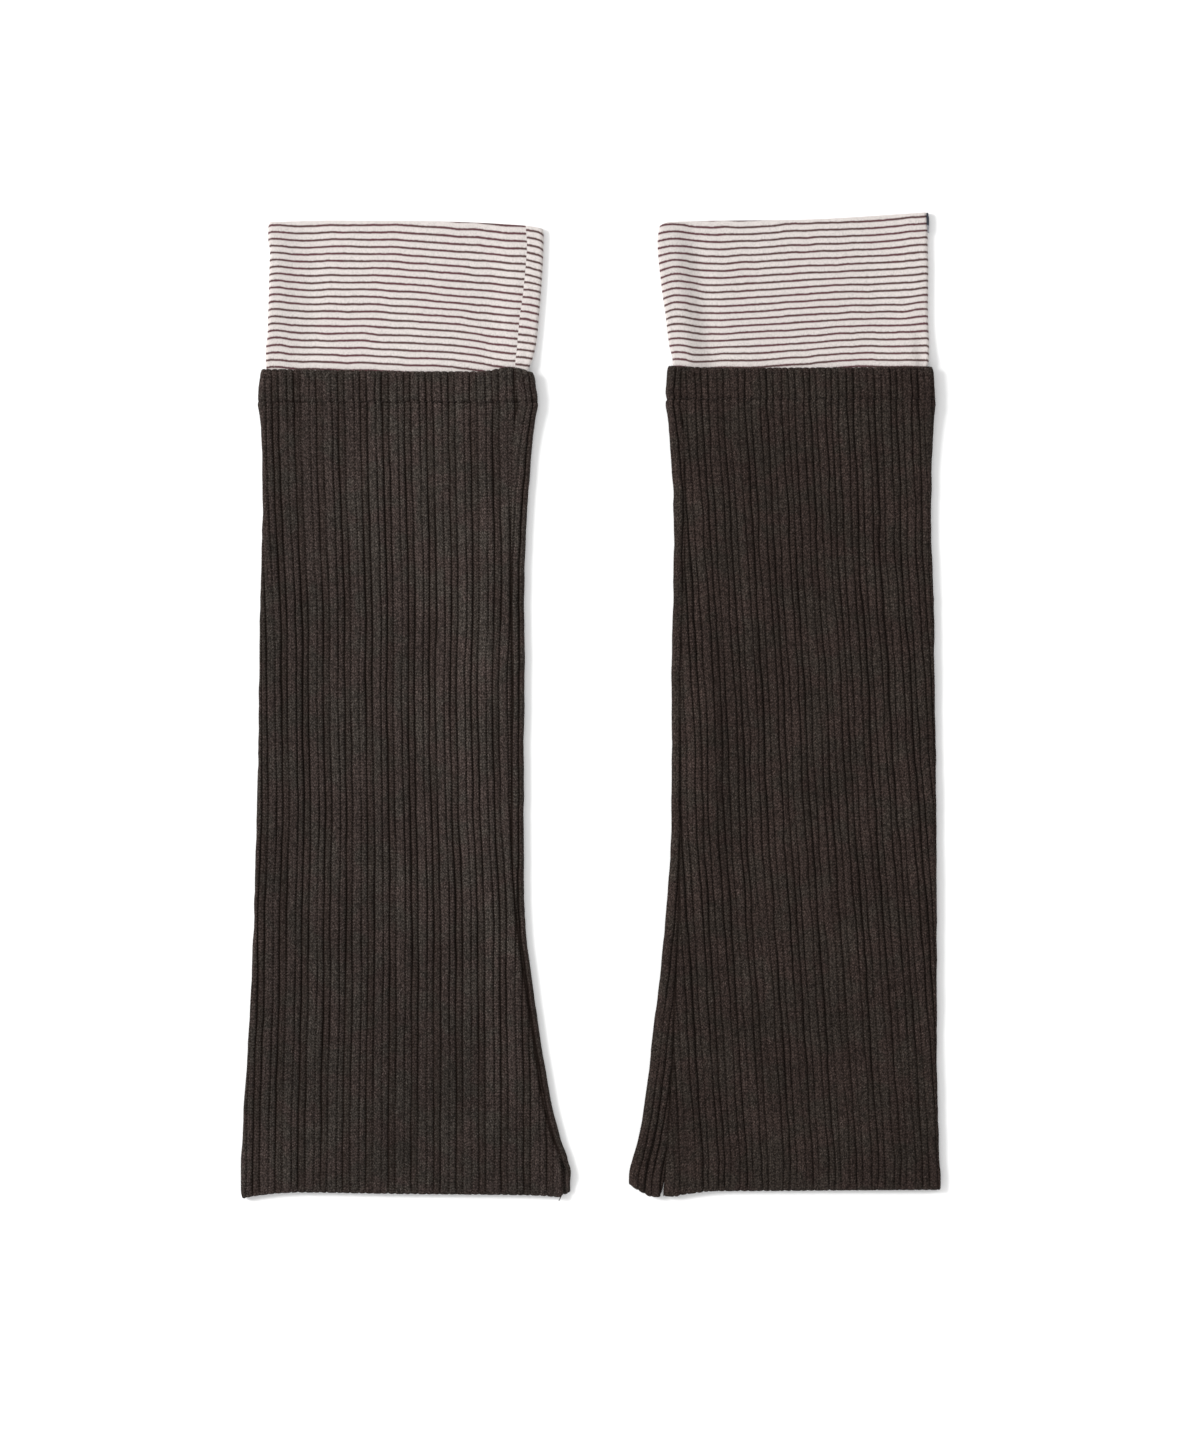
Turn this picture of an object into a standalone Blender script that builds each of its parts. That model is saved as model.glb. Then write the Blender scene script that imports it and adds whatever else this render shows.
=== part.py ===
"""A pair of leg warmers, laid flat side by side with the cuffs up the page.

Each leg warmer is a flared tube of rib knit with a striped jersey cuff coming out of its turned top. The
tube lies pressed flat: its upper layer is on its lower layer, and both sides are folds. The seam runs just
in front of the inner fold and is open at the hem as a slit. Under the right slit the lower layer's hem is
higher, so that the surface shows through. The right cuff has a small navy label on its outer fold.

Every table below is in millimetres. A leg's own frame has v up the leg from the hem, u from the centre line
of the leg towards the other leg warmer (the inner side), and z up from the surface that the cloth lies on.
"""

import math
from typing import NamedTuple

import bmesh
import bpy

MM = 0.001

# The walls
RIB_WALL = 1.9
CUFF_WALL = 1.3
LABEL_WALL = 0.8
SEAM_GAP = 0.3

# The laid heights
BODY_HEIGHT = 4.6
CUFF_HEIGHT = 3.6
CUFF_INNER_ROOM = 0.4
TUCKED_HEIGHT = 2 * CUFF_WALL + CUFF_INNER_ROOM
TUCKED_BASE = RIB_WALL + SEAM_GAP
TUCKED_SIDE = TUCKED_BASE + 0.2
CASING_HEIGHT = TUCKED_HEIGHT + 2 * TUCKED_BASE

# The columns of a ring, counted round from the seam
STRIP_STEPS = 2
FOLD_STEPS = 5
PANEL_STEPS = 10

# The seam, and the edges that run across a leg
SEAM_DIP = 0.45
SEAM_DIP_FROM = 3.5
SEAM_DIP_FULL = 5.5
SEAM_SIDE = 2.5
HEM_BLEND = 30.0
TOP_BLEND = 12.0
PAST_TOP_BLEND = 10.0
FURROW_FADE = 0.3
SEWN = 90.0
SLIT_CURL = 0.4
SLIT_FLAP = 0.8

# The label
LABEL_LENGTH = 10.0
LABEL_BELOW_TOP = 0.2
LABEL_RINGS = (1.0, 0.35, 0.0)  # shares of its length, down from its top; the cuff turns in at the second
LABEL_FOLD_STEPS = 2
LABEL_START = math.radians(-162.0)
LABEL_END = math.radians(-234.0)

# The colours, in linear light
LEFT_RIB_KNIT = (0.036, 0.028, 0.025)
RIGHT_RIB_KNIT = (0.030, 0.023, 0.020)
STRIPED_JERSEY = (0.56, 0.49, 0.47)
LABEL_TAPE = (0.012, 0.018, 0.030)


class RibRow(NamedTuple):
    """One section of a rib tube."""

    up: float  # along the leg, from the hem
    outer: float  # from the centre line to the outer fold
    inner: float  # from the centre line to the inner fold
    seam: float  # from the centre line to the seam
    height: float  # of the laid tube above the surface
    slit: float  # how far the seam is open
    rolled: float = SEWN  # how far the cloth behind the slit comes up round the fold, in degrees from level


class CuffRow(NamedTuple):
    """One section of a striped cuff."""

    up: float
    outer: float
    inner: float
    seam: float
    base: float  # of the lower layer above the surface
    height: float  # of the laid cuff above its base


class Edge(NamedTuple):
    """One place of an edge line: how far the edge lies above or below its row there."""

    across: float  # from the centre line, towards the inner side
    rise: float


class Furrow(NamedTuple):
    """A soft fold along the leg, in the upper layer: a ridge, or a trough where its depth is negative."""

    across: float
    half_width: float
    low: float
    high: float
    depth: float


class Ring(NamedTuple):
    """The points of one section, in metres, and whether its seam is sewn."""

    points: list
    sewn: bool


class Leg(NamedTuple):
    """One leg warmer: where it lies, and the tables of its cloth."""

    name: str
    side: int  # +1 where the inner side is towards +X, and -1 where it is towards -X
    centre_x: float
    hem_y: float
    rib_rows: tuple
    cuff_rows: tuple
    hem_line: tuple  # of the upper layer
    under_hem_line: tuple  # of the lower layer
    casing_line: tuple
    cuff_top_line: tuple
    cuff_furrows: tuple


LEFT_RIB_ROWS = (
    # up, outer, inner, seam, height, slit, rolled
    RibRow(0.0, 76.2, 87.2, 84.5, BODY_HEIGHT, 1.0, -55.0),
    RibRow(4.0, 77.0, 87.2, 84.5, BODY_HEIGHT, 1.0, -38.0),
    RibRow(7.5, 77.0, 87.2, 84.5, BODY_HEIGHT, 1.0, -18.0),
    RibRow(11.0, 77.0, 87.1, 84.3, BODY_HEIGHT, 1.0, 8.0),
    RibRow(14.0, 77.0, 86.9, 83.8, BODY_HEIGHT, 1.0, 35.0),
    RibRow(16.5, 77.0, 86.6, 83.0, BODY_HEIGHT, 1.0, 62.0),
    RibRow(19.0, 76.9, 86.2, 82.4, BODY_HEIGHT, 0.0),
    RibRow(27.5, 76.5, 83.2, 79.4, BODY_HEIGHT, 0.0),
    RibRow(47.5, 75.5, 78.0, 73.8, BODY_HEIGHT, 0.0),
    RibRow(67.5, 74.0, 74.5, 70.6, BODY_HEIGHT, 0.0),
    RibRow(87.5, 73.0, 71.5, 67.8, BODY_HEIGHT, 0.0),
    RibRow(107.5, 72.0, 68.5, 64.8, BODY_HEIGHT, 0.0),
    RibRow(127.5, 71.0, 66.0, 62.0, BODY_HEIGHT, 0.0),
    RibRow(147.5, 70.5, 64.6, 59.8, BODY_HEIGHT, 0.0),
    RibRow(177.5, 69.5, 64.5, 58.2, BODY_HEIGHT, 0.0),
    RibRow(217.5, 68.5, 64.5, 58.4, BODY_HEIGHT, 0.0),
    RibRow(257.5, 68.0, 65.0, 58.5, BODY_HEIGHT, 0.0),
    RibRow(297.5, 67.5, 64.8, 58.0, BODY_HEIGHT, 0.0),
    RibRow(337.5, 66.5, 66.0, 58.0, BODY_HEIGHT, 0.0),
    RibRow(367.5, 66.5, 68.0, 58.5, 4.9, 0.0),
    RibRow(382.5, 67.0, 69.5, 59.5, 5.8, 0.0),
    RibRow(390.5, 67.8, 70.6, 60.0, 6.7, 0.0),
    RibRow(395.5, 68.8, 71.5, 60.5, 7.0, 0.0),
    RibRow(399.5, 68.5, 71.2, 60.5, CASING_HEIGHT, 0.0),
    RibRow(405.0, 68.0, 70.5, 60.5, CASING_HEIGHT, 0.0),
    RibRow(412.0, 66.6, 69.2, 60.2, CASING_HEIGHT, 0.0),
)
RIGHT_RIB_ROWS = (
    # up, outer, inner, seam, height, slit
    RibRow(0.0, 68.0, 88.0, 70.0, BODY_HEIGHT, 1.7),
    RibRow(6.0, 68.0, 88.0, 70.1, BODY_HEIGHT, 0.7),
    RibRow(14.0, 67.5, 86.5, 69.8, BODY_HEIGHT, 0.0),
    RibRow(26.0, 67.0, 83.5, 68.6, BODY_HEIGHT, 0.0),
    RibRow(46.0, 66.5, 80.0, 67.6, BODY_HEIGHT, 0.0),
    RibRow(66.0, 66.0, 77.5, 66.4, BODY_HEIGHT, 0.0),
    RibRow(86.0, 66.0, 75.2, 65.5, BODY_HEIGHT, 0.0),
    RibRow(106.0, 65.8, 72.8, 64.6, BODY_HEIGHT, 0.0),
    RibRow(126.0, 66.0, 70.8, 63.6, BODY_HEIGHT, 0.0),
    RibRow(146.0, 66.0, 69.0, 63.0, BODY_HEIGHT, 0.0),
    RibRow(176.0, 66.0, 67.2, 62.5, BODY_HEIGHT, 0.0),
    RibRow(216.0, 65.5, 66.6, 62.4, BODY_HEIGHT, 0.0),
    RibRow(256.0, 65.0, 66.8, 62.2, BODY_HEIGHT, 0.0),
    RibRow(296.0, 64.4, 66.0, 61.0, BODY_HEIGHT, 0.0),
    RibRow(336.0, 63.2, 65.6, 60.0, BODY_HEIGHT, 0.0),
    RibRow(366.0, 63.5, 67.0, 60.2, 4.9, 0.0),
    RibRow(381.0, 64.2, 68.2, 60.5, 5.8, 0.0),
    RibRow(389.0, 65.0, 69.2, 60.8, 6.7, 0.0),
    RibRow(394.0, 65.4, 69.8, 61.0, 7.0, 0.0),
    RibRow(397.0, 65.2, 69.4, 61.0, 7.0, 0.0),
    RibRow(400.0, 65.0, 69.9, 61.0, CASING_HEIGHT, 0.0),
    RibRow(406.0, 64.5, 69.6, 61.2, CASING_HEIGHT, 0.0),
    RibRow(412.5, 63.6, 68.6, 61.4, CASING_HEIGHT, 0.0),
)

# The rows of each cuff that lie outside the casing, going up
LEFT_CUFF_ROWS = (
    # up, outer, inner, seam, base, height
    CuffRow(414.8, 64.5, 67.6, 60.2, TUCKED_BASE, TUCKED_HEIGHT),
    CuffRow(418.0, 64.6, 68.8, 60.4, 1.4, 3.2),
    CuffRow(422.5, 64.6, 70.0, 60.8, 0.6, 3.3),
    CuffRow(430.0, 63.8, 71.2, 61.5, 0.0, CUFF_HEIGHT),
    CuffRow(440.0, 63.5, 72.0, 62.4, 0.0, CUFF_HEIGHT),
    CuffRow(450.0, 63.2, 72.8, 63.8, 0.0, CUFF_HEIGHT),
    CuffRow(462.5, 62.9, 73.6, 65.0, 0.0, CUFF_HEIGHT),
    CuffRow(472.5, 62.6, 74.1, 65.8, 0.0, CUFF_HEIGHT),
    CuffRow(478.5, 63.5, 74.3, 66.0, 0.0, CUFF_HEIGHT),
    CuffRow(483.5, 63.5, 74.4, 65.6, 0.0, CUFF_HEIGHT),
    CuffRow(487.0, 62.8, 74.0, 65.3, 0.0, CUFF_HEIGHT),
)
RIGHT_CUFF_ROWS = (
    # up, outer, inner, seam, base, height
    CuffRow(414.8, 61.8, 66.2, 60.0, TUCKED_BASE, TUCKED_HEIGHT),
    CuffRow(418.0, 62.0, 66.6, 60.5, 1.4, 3.2),
    CuffRow(422.5, 62.1, 67.8, 61.5, 0.6, 3.3),
    CuffRow(430.0, 61.8, 68.8, 62.5, 0.0, CUFF_HEIGHT),
    CuffRow(440.0, 61.5, 69.9, 63.5, 0.0, CUFF_HEIGHT),
    CuffRow(450.0, 61.6, 71.3, 64.9, 0.0, CUFF_HEIGHT),
    CuffRow(460.0, 61.7, 72.4, 66.0, 0.0, CUFF_HEIGHT),
    CuffRow(470.0, 61.4, 73.4, 67.0, 0.0, CUFF_HEIGHT),
    CuffRow(477.0, 61.4, 73.8, 67.4, 0.0, CUFF_HEIGHT),
    CuffRow(482.5, 61.4, 73.4, 67.0, 0.0, CUFF_HEIGHT),
    CuffRow(486.2, 60.8, 72.6, 66.2, 0.0, CUFF_HEIGHT),
)

# The hem of the left tube, the same in its two layers
LEFT_HEM_LINE = (
    Edge(-76, -1.8),
    Edge(-72, -1.0),
    Edge(-62, 0.4),
    Edge(-48, 1.2),
    Edge(0, 0.5),
    Edge(84, -0.6),
)

LEFT = Leg(
    name="left",
    side=1,
    centre_x=-98.0,
    hem_y=-245.0,
    rib_rows=LEFT_RIB_ROWS,
    cuff_rows=LEFT_CUFF_ROWS,
    hem_line=LEFT_HEM_LINE,
    under_hem_line=LEFT_HEM_LINE,
    casing_line=(
        Edge(-66, 1.0),
        Edge(-20, 0.4),
        Edge(10, -0.2),
        Edge(42, -0.2),
        Edge(58, 2.0),
        Edge(69, -0.5),
    ),
    cuff_top_line=(Edge(-63, -0.5), Edge(-30, 0.2), Edge(10, 0.0), Edge(64, -2.2), Edge(74, -3.8)),
    cuff_furrows=(),
)
RIGHT = Leg(
    name="right",
    side=-1,
    centre_x=107.0,
    hem_y=-243.5,
    rib_rows=RIGHT_RIB_ROWS,
    cuff_rows=RIGHT_CUFF_ROWS,
    hem_line=(
        Edge(-68, 1.0),
        Edge(50, 0.0),
        Edge(62, -0.5),
        Edge(68, -2.2),
        Edge(76, -2.6),
        Edge(81, -0.6),
        Edge(88, 3.5),
    ),
    under_hem_line=(
        Edge(-68, 1.0),
        Edge(45, 0.2),
        Edge(56, 3.2),
        Edge(65, 7.0),
        Edge(76, 7.0),
        Edge(88, 3.5),
    ),
    casing_line=(Edge(-64, 0.2), Edge(0, -0.3), Edge(40, -0.4), Edge(68, 0.6)),
    cuff_top_line=(Edge(-61, 3.6), Edge(0, 0.0), Edge(68, -1.2), Edge(73, -3.0)),
    cuff_furrows=(
        Furrow(across=53.0, half_width=7.0, low=416.0, high=482.0, depth=-0.8),
        Furrow(across=64.0, half_width=6.0, low=416.0, high=470.0, depth=0.8),
    ),
)


def between(low, high, share):
    """The value at a share of the way from low to high."""
    return low + (high - low) * share


def smooth(value, low, high):
    """0 at low, 1 at high, and an even curve between."""
    share = min(1.0, max(0.0, (value - low) / (high - low)))
    return share * share * (3 - 2 * share)


def line_rise(line, across):
    """The rise of an edge line at this distance from the centre line."""
    if across <= line[0].across:
        return line[0].rise
    for start, end in zip(line, line[1:]):
        if across <= end.across:
            return between(start.rise, end.rise, (across - start.across) / (end.across - start.across))
    return line[-1].rise


def furrow_lift(furrows, across, up):
    """How far the folds lift the upper layer here."""
    lift = 0.0
    for furrow in furrows:
        reach = (across - furrow.across) / furrow.half_width
        fade = FURROW_FADE * (furrow.high - furrow.low)
        start = smooth(up, furrow.low, furrow.low + fade)
        end = 1 - smooth(up, furrow.high - fade, furrow.high)
        lift += furrow.depth * math.exp(-reach * reach) * start * end
    return lift


def fold_arc(centre, radius, base, start, end, steps):
    """The turn of the cloth round a fold, from one angle to the other."""
    points = []
    for step in range(steps + 1):
        angle = between(start, end, step / steps)
        points.append((centre + radius * math.cos(angle), base + radius + radius * math.sin(angle)))
    return points


def run(start, end, height, steps):
    """Even steps across a flat layer, without its two ends."""
    return [(between(start, end, step / steps), height) for step in range(1, steps)]


def laid_ring(outer, inner, seam, slit, base, height, rolled=SEWN, dip=0.0):
    """A section of a laid tube: (u, z) points from the seam over the inner fold, round to the seam again."""
    radius = height / 2
    top = base + height
    seam_side = seam - SEAM_SIDE
    outer_centre = radius - outer
    turn = math.radians(rolled)
    rise, reach = math.sin(turn), math.cos(turn)
    curl = radius * (1 + SLIT_CURL * (1 - rise))
    if rolled < SEWN:
        flap = SLIT_FLAP
        inner_centre = inner - (curl if rolled > 0 else curl * reach - flap * rise)
    else:
        inner_centre = inner - radius
        flap = inner_centre - seam - slit
    leaves = (inner_centre + curl * reach, base + curl + curl * rise)
    lead = []
    for step in range(STRIP_STEPS):
        left = flap * (1 - step / STRIP_STEPS)
        lead.append((leaves[0] - left * rise, leaves[1] + left * reach - (0.0 if step else dip)))
    lead += fold_arc(inner_centre, curl, base, turn, -math.pi / 2, FOLD_STEPS)
    under = run(inner_centre, outer_centre, base, PANEL_STEPS)
    outer_fold = fold_arc(outer_centre, radius, base, -math.pi / 2, -3 * math.pi / 2, FOLD_STEPS)
    over = run(outer_centre, seam_side, top, PANEL_STEPS) + [(seam_side, top)]
    return lead + under + outer_fold + over + [(seam, top - dip)]


def section_ring(points, sewn):
    """A section's points in metres; where the seam is sewn, the first and the last are one point."""
    return Ring([[MM * value for value in point] for point in (points[:-1] if sewn else points)], sewn)


def rib_ring(leg, row):
    """The points of one rib section in the leg's own frame, closed where the seam is sewn."""
    sewn = row.slit == 0
    top_up = leg.rib_rows[-1].up
    at_hem = 1 - smooth(row.up, 0.0, HEM_BLEND)
    at_top = smooth(row.up, top_up - TOP_BLEND, top_up)
    dip = SEAM_DIP * smooth(row.inner - row.seam, SEAM_DIP_FROM, SEAM_DIP_FULL) if sewn else 0.0
    dip *= 1 - smooth(row.height, BODY_HEIGHT, CASING_HEIGHT)
    points = []
    for across, z in laid_ring(row.outer, row.inner, row.seam, row.slit, 0.0, row.height, row.rolled, dip):
        upper_share = smooth(z, 0.0, row.height)
        under_rise = line_rise(leg.under_hem_line, across)
        hem_rise = between(under_rise, line_rise(leg.hem_line, across), upper_share)
        rise = hem_rise * at_hem + line_rise(leg.casing_line, across) * at_top
        points.append((leg.side * across, row.up + rise, z))
    return section_ring(points, sewn)


def tucked_rows(leg):
    """The cuff's sections inside the casing, each just inside the rib tube's own section."""
    rows = []
    for row in leg.rib_rows:
        if row.height < CASING_HEIGHT:
            continue
        outer = row.outer - TUCKED_SIDE
        inner = row.inner - TUCKED_SIDE
        rows.append(CuffRow(row.up, outer, inner, row.seam, TUCKED_BASE, TUCKED_HEIGHT))
    return rows


def cuff_ring(leg, row):
    """The points of one cuff section in the leg's own frame."""
    casing_up = leg.rib_rows[-1].up
    at_casing = smooth(row.up, casing_up - TOP_BLEND, casing_up)
    at_casing *= 1 - smooth(row.up, casing_up, casing_up + PAST_TOP_BLEND)
    at_top = smooth(row.up, casing_up, leg.cuff_rows[-1].up)
    middle = row.base + row.height / 2
    points = []
    for across, z in laid_ring(row.outer, row.inner, row.seam, 0.0, row.base, row.height):
        rise = line_rise(leg.casing_line, across) * at_casing + line_rise(leg.cuff_top_line, across) * at_top
        upper_share = smooth(z, middle, row.base + row.height)
        lift = furrow_lift(leg.cuff_furrows, across, row.up) * upper_share
        points.append((leg.side * across, row.up + rise, z + lift))
    return section_ring(points, sewn=True)


def cuff_row_at(leg, up):
    """The cuff's section at any height along the leg."""
    rows = tucked_rows(leg) + list(leg.cuff_rows)
    for low, high in zip(rows, rows[1:]):
        if up <= high.up:
            share = (up - low.up) / (high.up - low.up)
            return CuffRow(*(between(a, b, share) for a, b in zip(low, high)))
    return rows[-1]


def label_strip(leg, up):
    """The label's section: the cuff's own points round its outer fold, moved out by the seam gap."""
    row = cuff_row_at(leg, up)
    radius = row.height / 2
    centre = radius - row.outer
    rise = line_rise(leg.cuff_top_line, -row.outer)
    outside = radius + SEAM_GAP
    section = fold_arc(centre, outside, row.base - SEAM_GAP, LABEL_START, LABEL_END, LABEL_FOLD_STEPS)
    return section_ring([(leg.side * across, up + rise, z) for across, z in section], sewn=False)


def cloth_material(name, colour, roughness):
    """A plain matte cloth."""
    material = bpy.data.materials.new(name)
    material.use_nodes = True
    shader = material.node_tree.nodes["Principled BSDF"]
    shader.inputs["Base Color"].default_value = (*colour, 1.0)
    shader.inputs["Roughness"].default_value = roughness
    shader.inputs["Metallic"].default_value = 0.0
    return material


def join_rings(mesh_data, rings, flipped):
    """Makes the open surface between the sections."""
    rows = []
    for ring in rings:
        corners = [mesh_data.verts.new(point) for point in ring.points]
        if ring.sewn:
            corners.append(corners[0])
        rows.append(corners)
    for lower, upper in zip(rows, rows[1:]):
        for column in range(len(lower) - 1):
            corners = [lower[column], lower[column + 1], upper[column + 1], upper[column]]
            if flipped:
                corners.reverse()
            mesh_data.faces.new(corners)


def add_cloth(collection, leg, name, rings, wall, outwards, material):
    """One piece of cloth: the surface through its rings, with its wall."""
    mesh_data = bmesh.new()
    join_rings(mesh_data, rings, flipped=leg.side < 0)
    mesh = bpy.data.meshes.new(name)
    mesh_data.to_mesh(mesh)
    mesh_data.free()
    mesh.materials.append(material)
    mesh.shade_smooth()
    piece = bpy.data.objects.new(name, mesh)
    piece.location = (leg.centre_x * MM, leg.hem_y * MM, 0.0)
    collection.objects.link(piece)
    solidify = piece.modifiers.new("Wall", "SOLIDIFY")
    solidify.thickness = wall * MM
    solidify.offset = 1.0 if outwards else -1.0
    solidify.use_even_offset = True
    return piece


def add_leg(collection, leg, rib_material, cuff_material):
    """The rib tube and the striped cuff of one leg warmer."""
    rib_rings = [rib_ring(leg, row) for row in leg.rib_rows]
    add_cloth(collection, leg, f"{leg.name}_rib_tube", rib_rings, RIB_WALL, False, rib_material)
    cuff_rings = [cuff_ring(leg, row) for row in tucked_rows(leg) + list(leg.cuff_rows)]
    add_cloth(collection, leg, f"{leg.name}_striped_cuff", cuff_rings, CUFF_WALL, False, cuff_material)


def add_label(collection, leg, material):
    """The small label on the outer fold of the cuff, at its top corner."""
    top = leg.cuff_rows[-1].up - LABEL_BELOW_TOP
    rings = [label_strip(leg, top - LABEL_LENGTH * share) for share in LABEL_RINGS]
    add_cloth(collection, leg, f"{leg.name}_side_label", rings, LABEL_WALL, True, material)


def clear_scene():
    """Removes every object of the scene."""
    for item in list(bpy.data.objects):
        bpy.data.objects.remove(item, do_unlink=True)


def main():
    clear_scene()
    collection = bpy.data.collections.new("leg_warmers")
    bpy.context.scene.collection.children.link(collection)
    cuff_material = cloth_material("striped_jersey", STRIPED_JERSEY, 0.9)
    add_leg(collection, LEFT, cloth_material("left_rib_knit", LEFT_RIB_KNIT, 0.95), cuff_material)
    add_leg(collection, RIGHT, cloth_material("right_rib_knit", RIGHT_RIB_KNIT, 0.95), cuff_material)
    add_label(collection, RIGHT, cloth_material("label_tape", LABEL_TAPE, 0.7))


main()
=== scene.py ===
"""The looks of a pair of leg warmers, laid flat side by side with the cuffs up the page.

Each leg warmer is a flared tube of rib knit with a doubled, striped jersey cuff coming out of its turned top.
The right cuff has a small navy label on its outer fold. Sizes are in millimetres, apart from those in node
trees, which are in metres. In a leg's own frame, `up` runs along the leg from the hem, `across` from the leg's
centre line towards the other leg warmer (the inner side), and z up from the surface that the cloth lies on.
"""

import logging
import math
from collections.abc import Callable
from dataclasses import dataclass, field
from enum import Enum

import bpy
import numpy as np
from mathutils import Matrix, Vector


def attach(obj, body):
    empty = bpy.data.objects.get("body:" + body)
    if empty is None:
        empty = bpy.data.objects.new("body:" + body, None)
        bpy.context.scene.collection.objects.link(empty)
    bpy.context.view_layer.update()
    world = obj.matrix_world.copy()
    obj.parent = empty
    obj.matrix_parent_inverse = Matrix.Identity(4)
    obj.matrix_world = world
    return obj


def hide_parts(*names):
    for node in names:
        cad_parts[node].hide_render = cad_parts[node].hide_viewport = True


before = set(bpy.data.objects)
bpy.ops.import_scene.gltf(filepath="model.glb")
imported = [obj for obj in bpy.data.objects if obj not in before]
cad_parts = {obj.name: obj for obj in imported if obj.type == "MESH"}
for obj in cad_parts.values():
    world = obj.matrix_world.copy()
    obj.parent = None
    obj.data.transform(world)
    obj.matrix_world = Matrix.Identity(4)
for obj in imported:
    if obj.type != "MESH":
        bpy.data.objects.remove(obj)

MM = 0.001
LOG = logging.getLogger("leg_warmers")
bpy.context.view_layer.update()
BODY = "root"
UV_NAME = "Knit"
Numbers = np.ndarray | float
Table = tuple[tuple[float, ...], ...]
Rgb = tuple[float, float, float]


# Measures

def smooth(value: Numbers, low: float, high: float) -> Numbers:
    """An even step.

    Args:
        value: where the step is read.
        low: where it starts.
        high: where it ends.

    Returns:
        0 up to low, 1 from high, and a smooth curve between.
    """
    share = np.clip((np.asarray(value, float) - low) / (high - low), 0.0, 1.0)
    return share * share * (3 - 2 * share)


def curve(low: Numbers, high: Numbers, start: Numbers, end: Numbers, share: Numbers) -> Numbers:
    """A cubic curve between two values.

    Args:
        low: the first value.
        high: the second value.
        start: the slope at the first one, for the whole step.
        end: the slope at the second one.
        share: how far along the step, from 0 to 1.

    Returns:
        The value there.
    """
    back = 1 - share
    level = low * (1 + 2 * share) * back**2 + high * share**2 * (3 - 2 * share)
    return level + start * share * back**2 + end * share**2 * (share - 1)


@dataclass
class Line:
    """A smooth line through the places of a table, which never overshoots them."""

    places: Table

    def __post_init__(self) -> None:
        """Works out the slopes at the places."""
        self.x, self.y = np.array(self.places, float).T
        self.step = step = np.diff(self.x)
        rise = np.diff(self.y) / step
        self.slope = slope = np.zeros(len(self.x))
        slope[0], slope[-1] = rise[0], rise[-1]
        for i in range(1, len(self.x) - 1):
            if rise[i - 1] * rise[i] > 0:
                before, after = 2 * step[i] + step[i - 1], step[i] + 2 * step[i - 1]
                slope[i] = (before + after) / (before / rise[i - 1] + after / rise[i])

    def at(self, where: Numbers) -> Numbers:
        """Reads the line, which stays level past its ends.

        Args:
            where: places along it.

        Returns:
            Its values there.
        """
        where = np.clip(np.asarray(where, float), self.x[0], self.x[-1])
        i = np.clip(np.searchsorted(self.x, where, side="right") - 1, 0, len(self.step) - 1)
        step = self.step[i]
        slopes = self.slope[i] * step, self.slope[i + 1] * step
        return curve(self.y[i], self.y[i + 1], *slopes, (where - self.x[i]) / step)


def lines(rows: Table) -> list[Line]:
    """The lines of a table's columns, each over its first column."""
    return [Line(tuple((row[0], row[column]) for row in rows)) for column in range(1, len(rows[0]))]


class Unevenness:
    """Soft, seeded unevenness over two directions of the cloth, between -1 and 1."""

    SIZE = 64

    def __init__(self, seed: int) -> None:
        """Draws the values that it passes through; a fixed seed gives the same cloth each run."""
        self.values = np.random.default_rng(seed).uniform(-1, 1, (self.SIZE, self.SIZE))

    def at(self, across: Numbers, along: Numbers) -> Numbers:
        """Reads the unevenness.

        Args:
            across: places in the first direction, in steps.
            along: places in the second direction, in steps.

        Returns:
            The values there.
        """
        across, along = np.broadcast_arrays(np.asarray(across, float), np.asarray(along, float))
        i, j = np.floor(across).astype(int), np.floor(along).astype(int)
        s, t = smooth(across - i, 0, 1), smooth(along - j, 0, 1)
        values, size = self.values, self.SIZE
        i, after_i, j, after_j = i % size, (i + 1) % size, j % size, (j + 1) % size
        low = values[i, j] * (1 - s) + values[after_i, j] * s
        high = values[i, after_j] * (1 - s) + values[after_i, after_j] * s
        return low * (1 - t) + high * t


@dataclass(frozen=True)
class Swell:
    """A soft rise, or a trough where its lift is negative, along a line that leans across as it goes up."""

    across: float
    up: float
    half_width: float
    half_length: float
    lift: float
    lean: float = 0.0  # across for each millimetre up

    def at(self, across: Numbers, up: Numbers) -> Numbers:
        """Its height at these places."""
        off = (across - self.across - self.lean * (up - self.up)) / self.half_width
        along = (up - self.up) / self.half_length
        return self.lift * np.exp(-off * off) * np.exp(-(along**4))


def total(swells: tuple[Swell, ...], across: np.ndarray, up: Numbers) -> np.ndarray:
    """The height of several swells together at these places."""
    return sum((swell.at(across, up) for swell in swells), np.zeros_like(across))


# Laid tubes of cloth

class Side(Enum):
    """Which leg warmer a piece belongs to; the value is the direction of its inner side along X."""

    LEFT = 1
    RIGHT = -1


@dataclass(frozen=True)
class Leg:
    """Where one leg warmer lies."""

    side: Side
    centre_x: float
    hem_y: float

    @property
    def word(self) -> str:
        """The side's name."""
        return self.side.name.lower()

    def place(self, points: np.ndarray) -> np.ndarray:
        """Points of the leg's own frame in the frame of the CAD."""
        return points * (self.side.value, 1, 1) + (self.centre_x, self.hem_y, 0)


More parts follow.
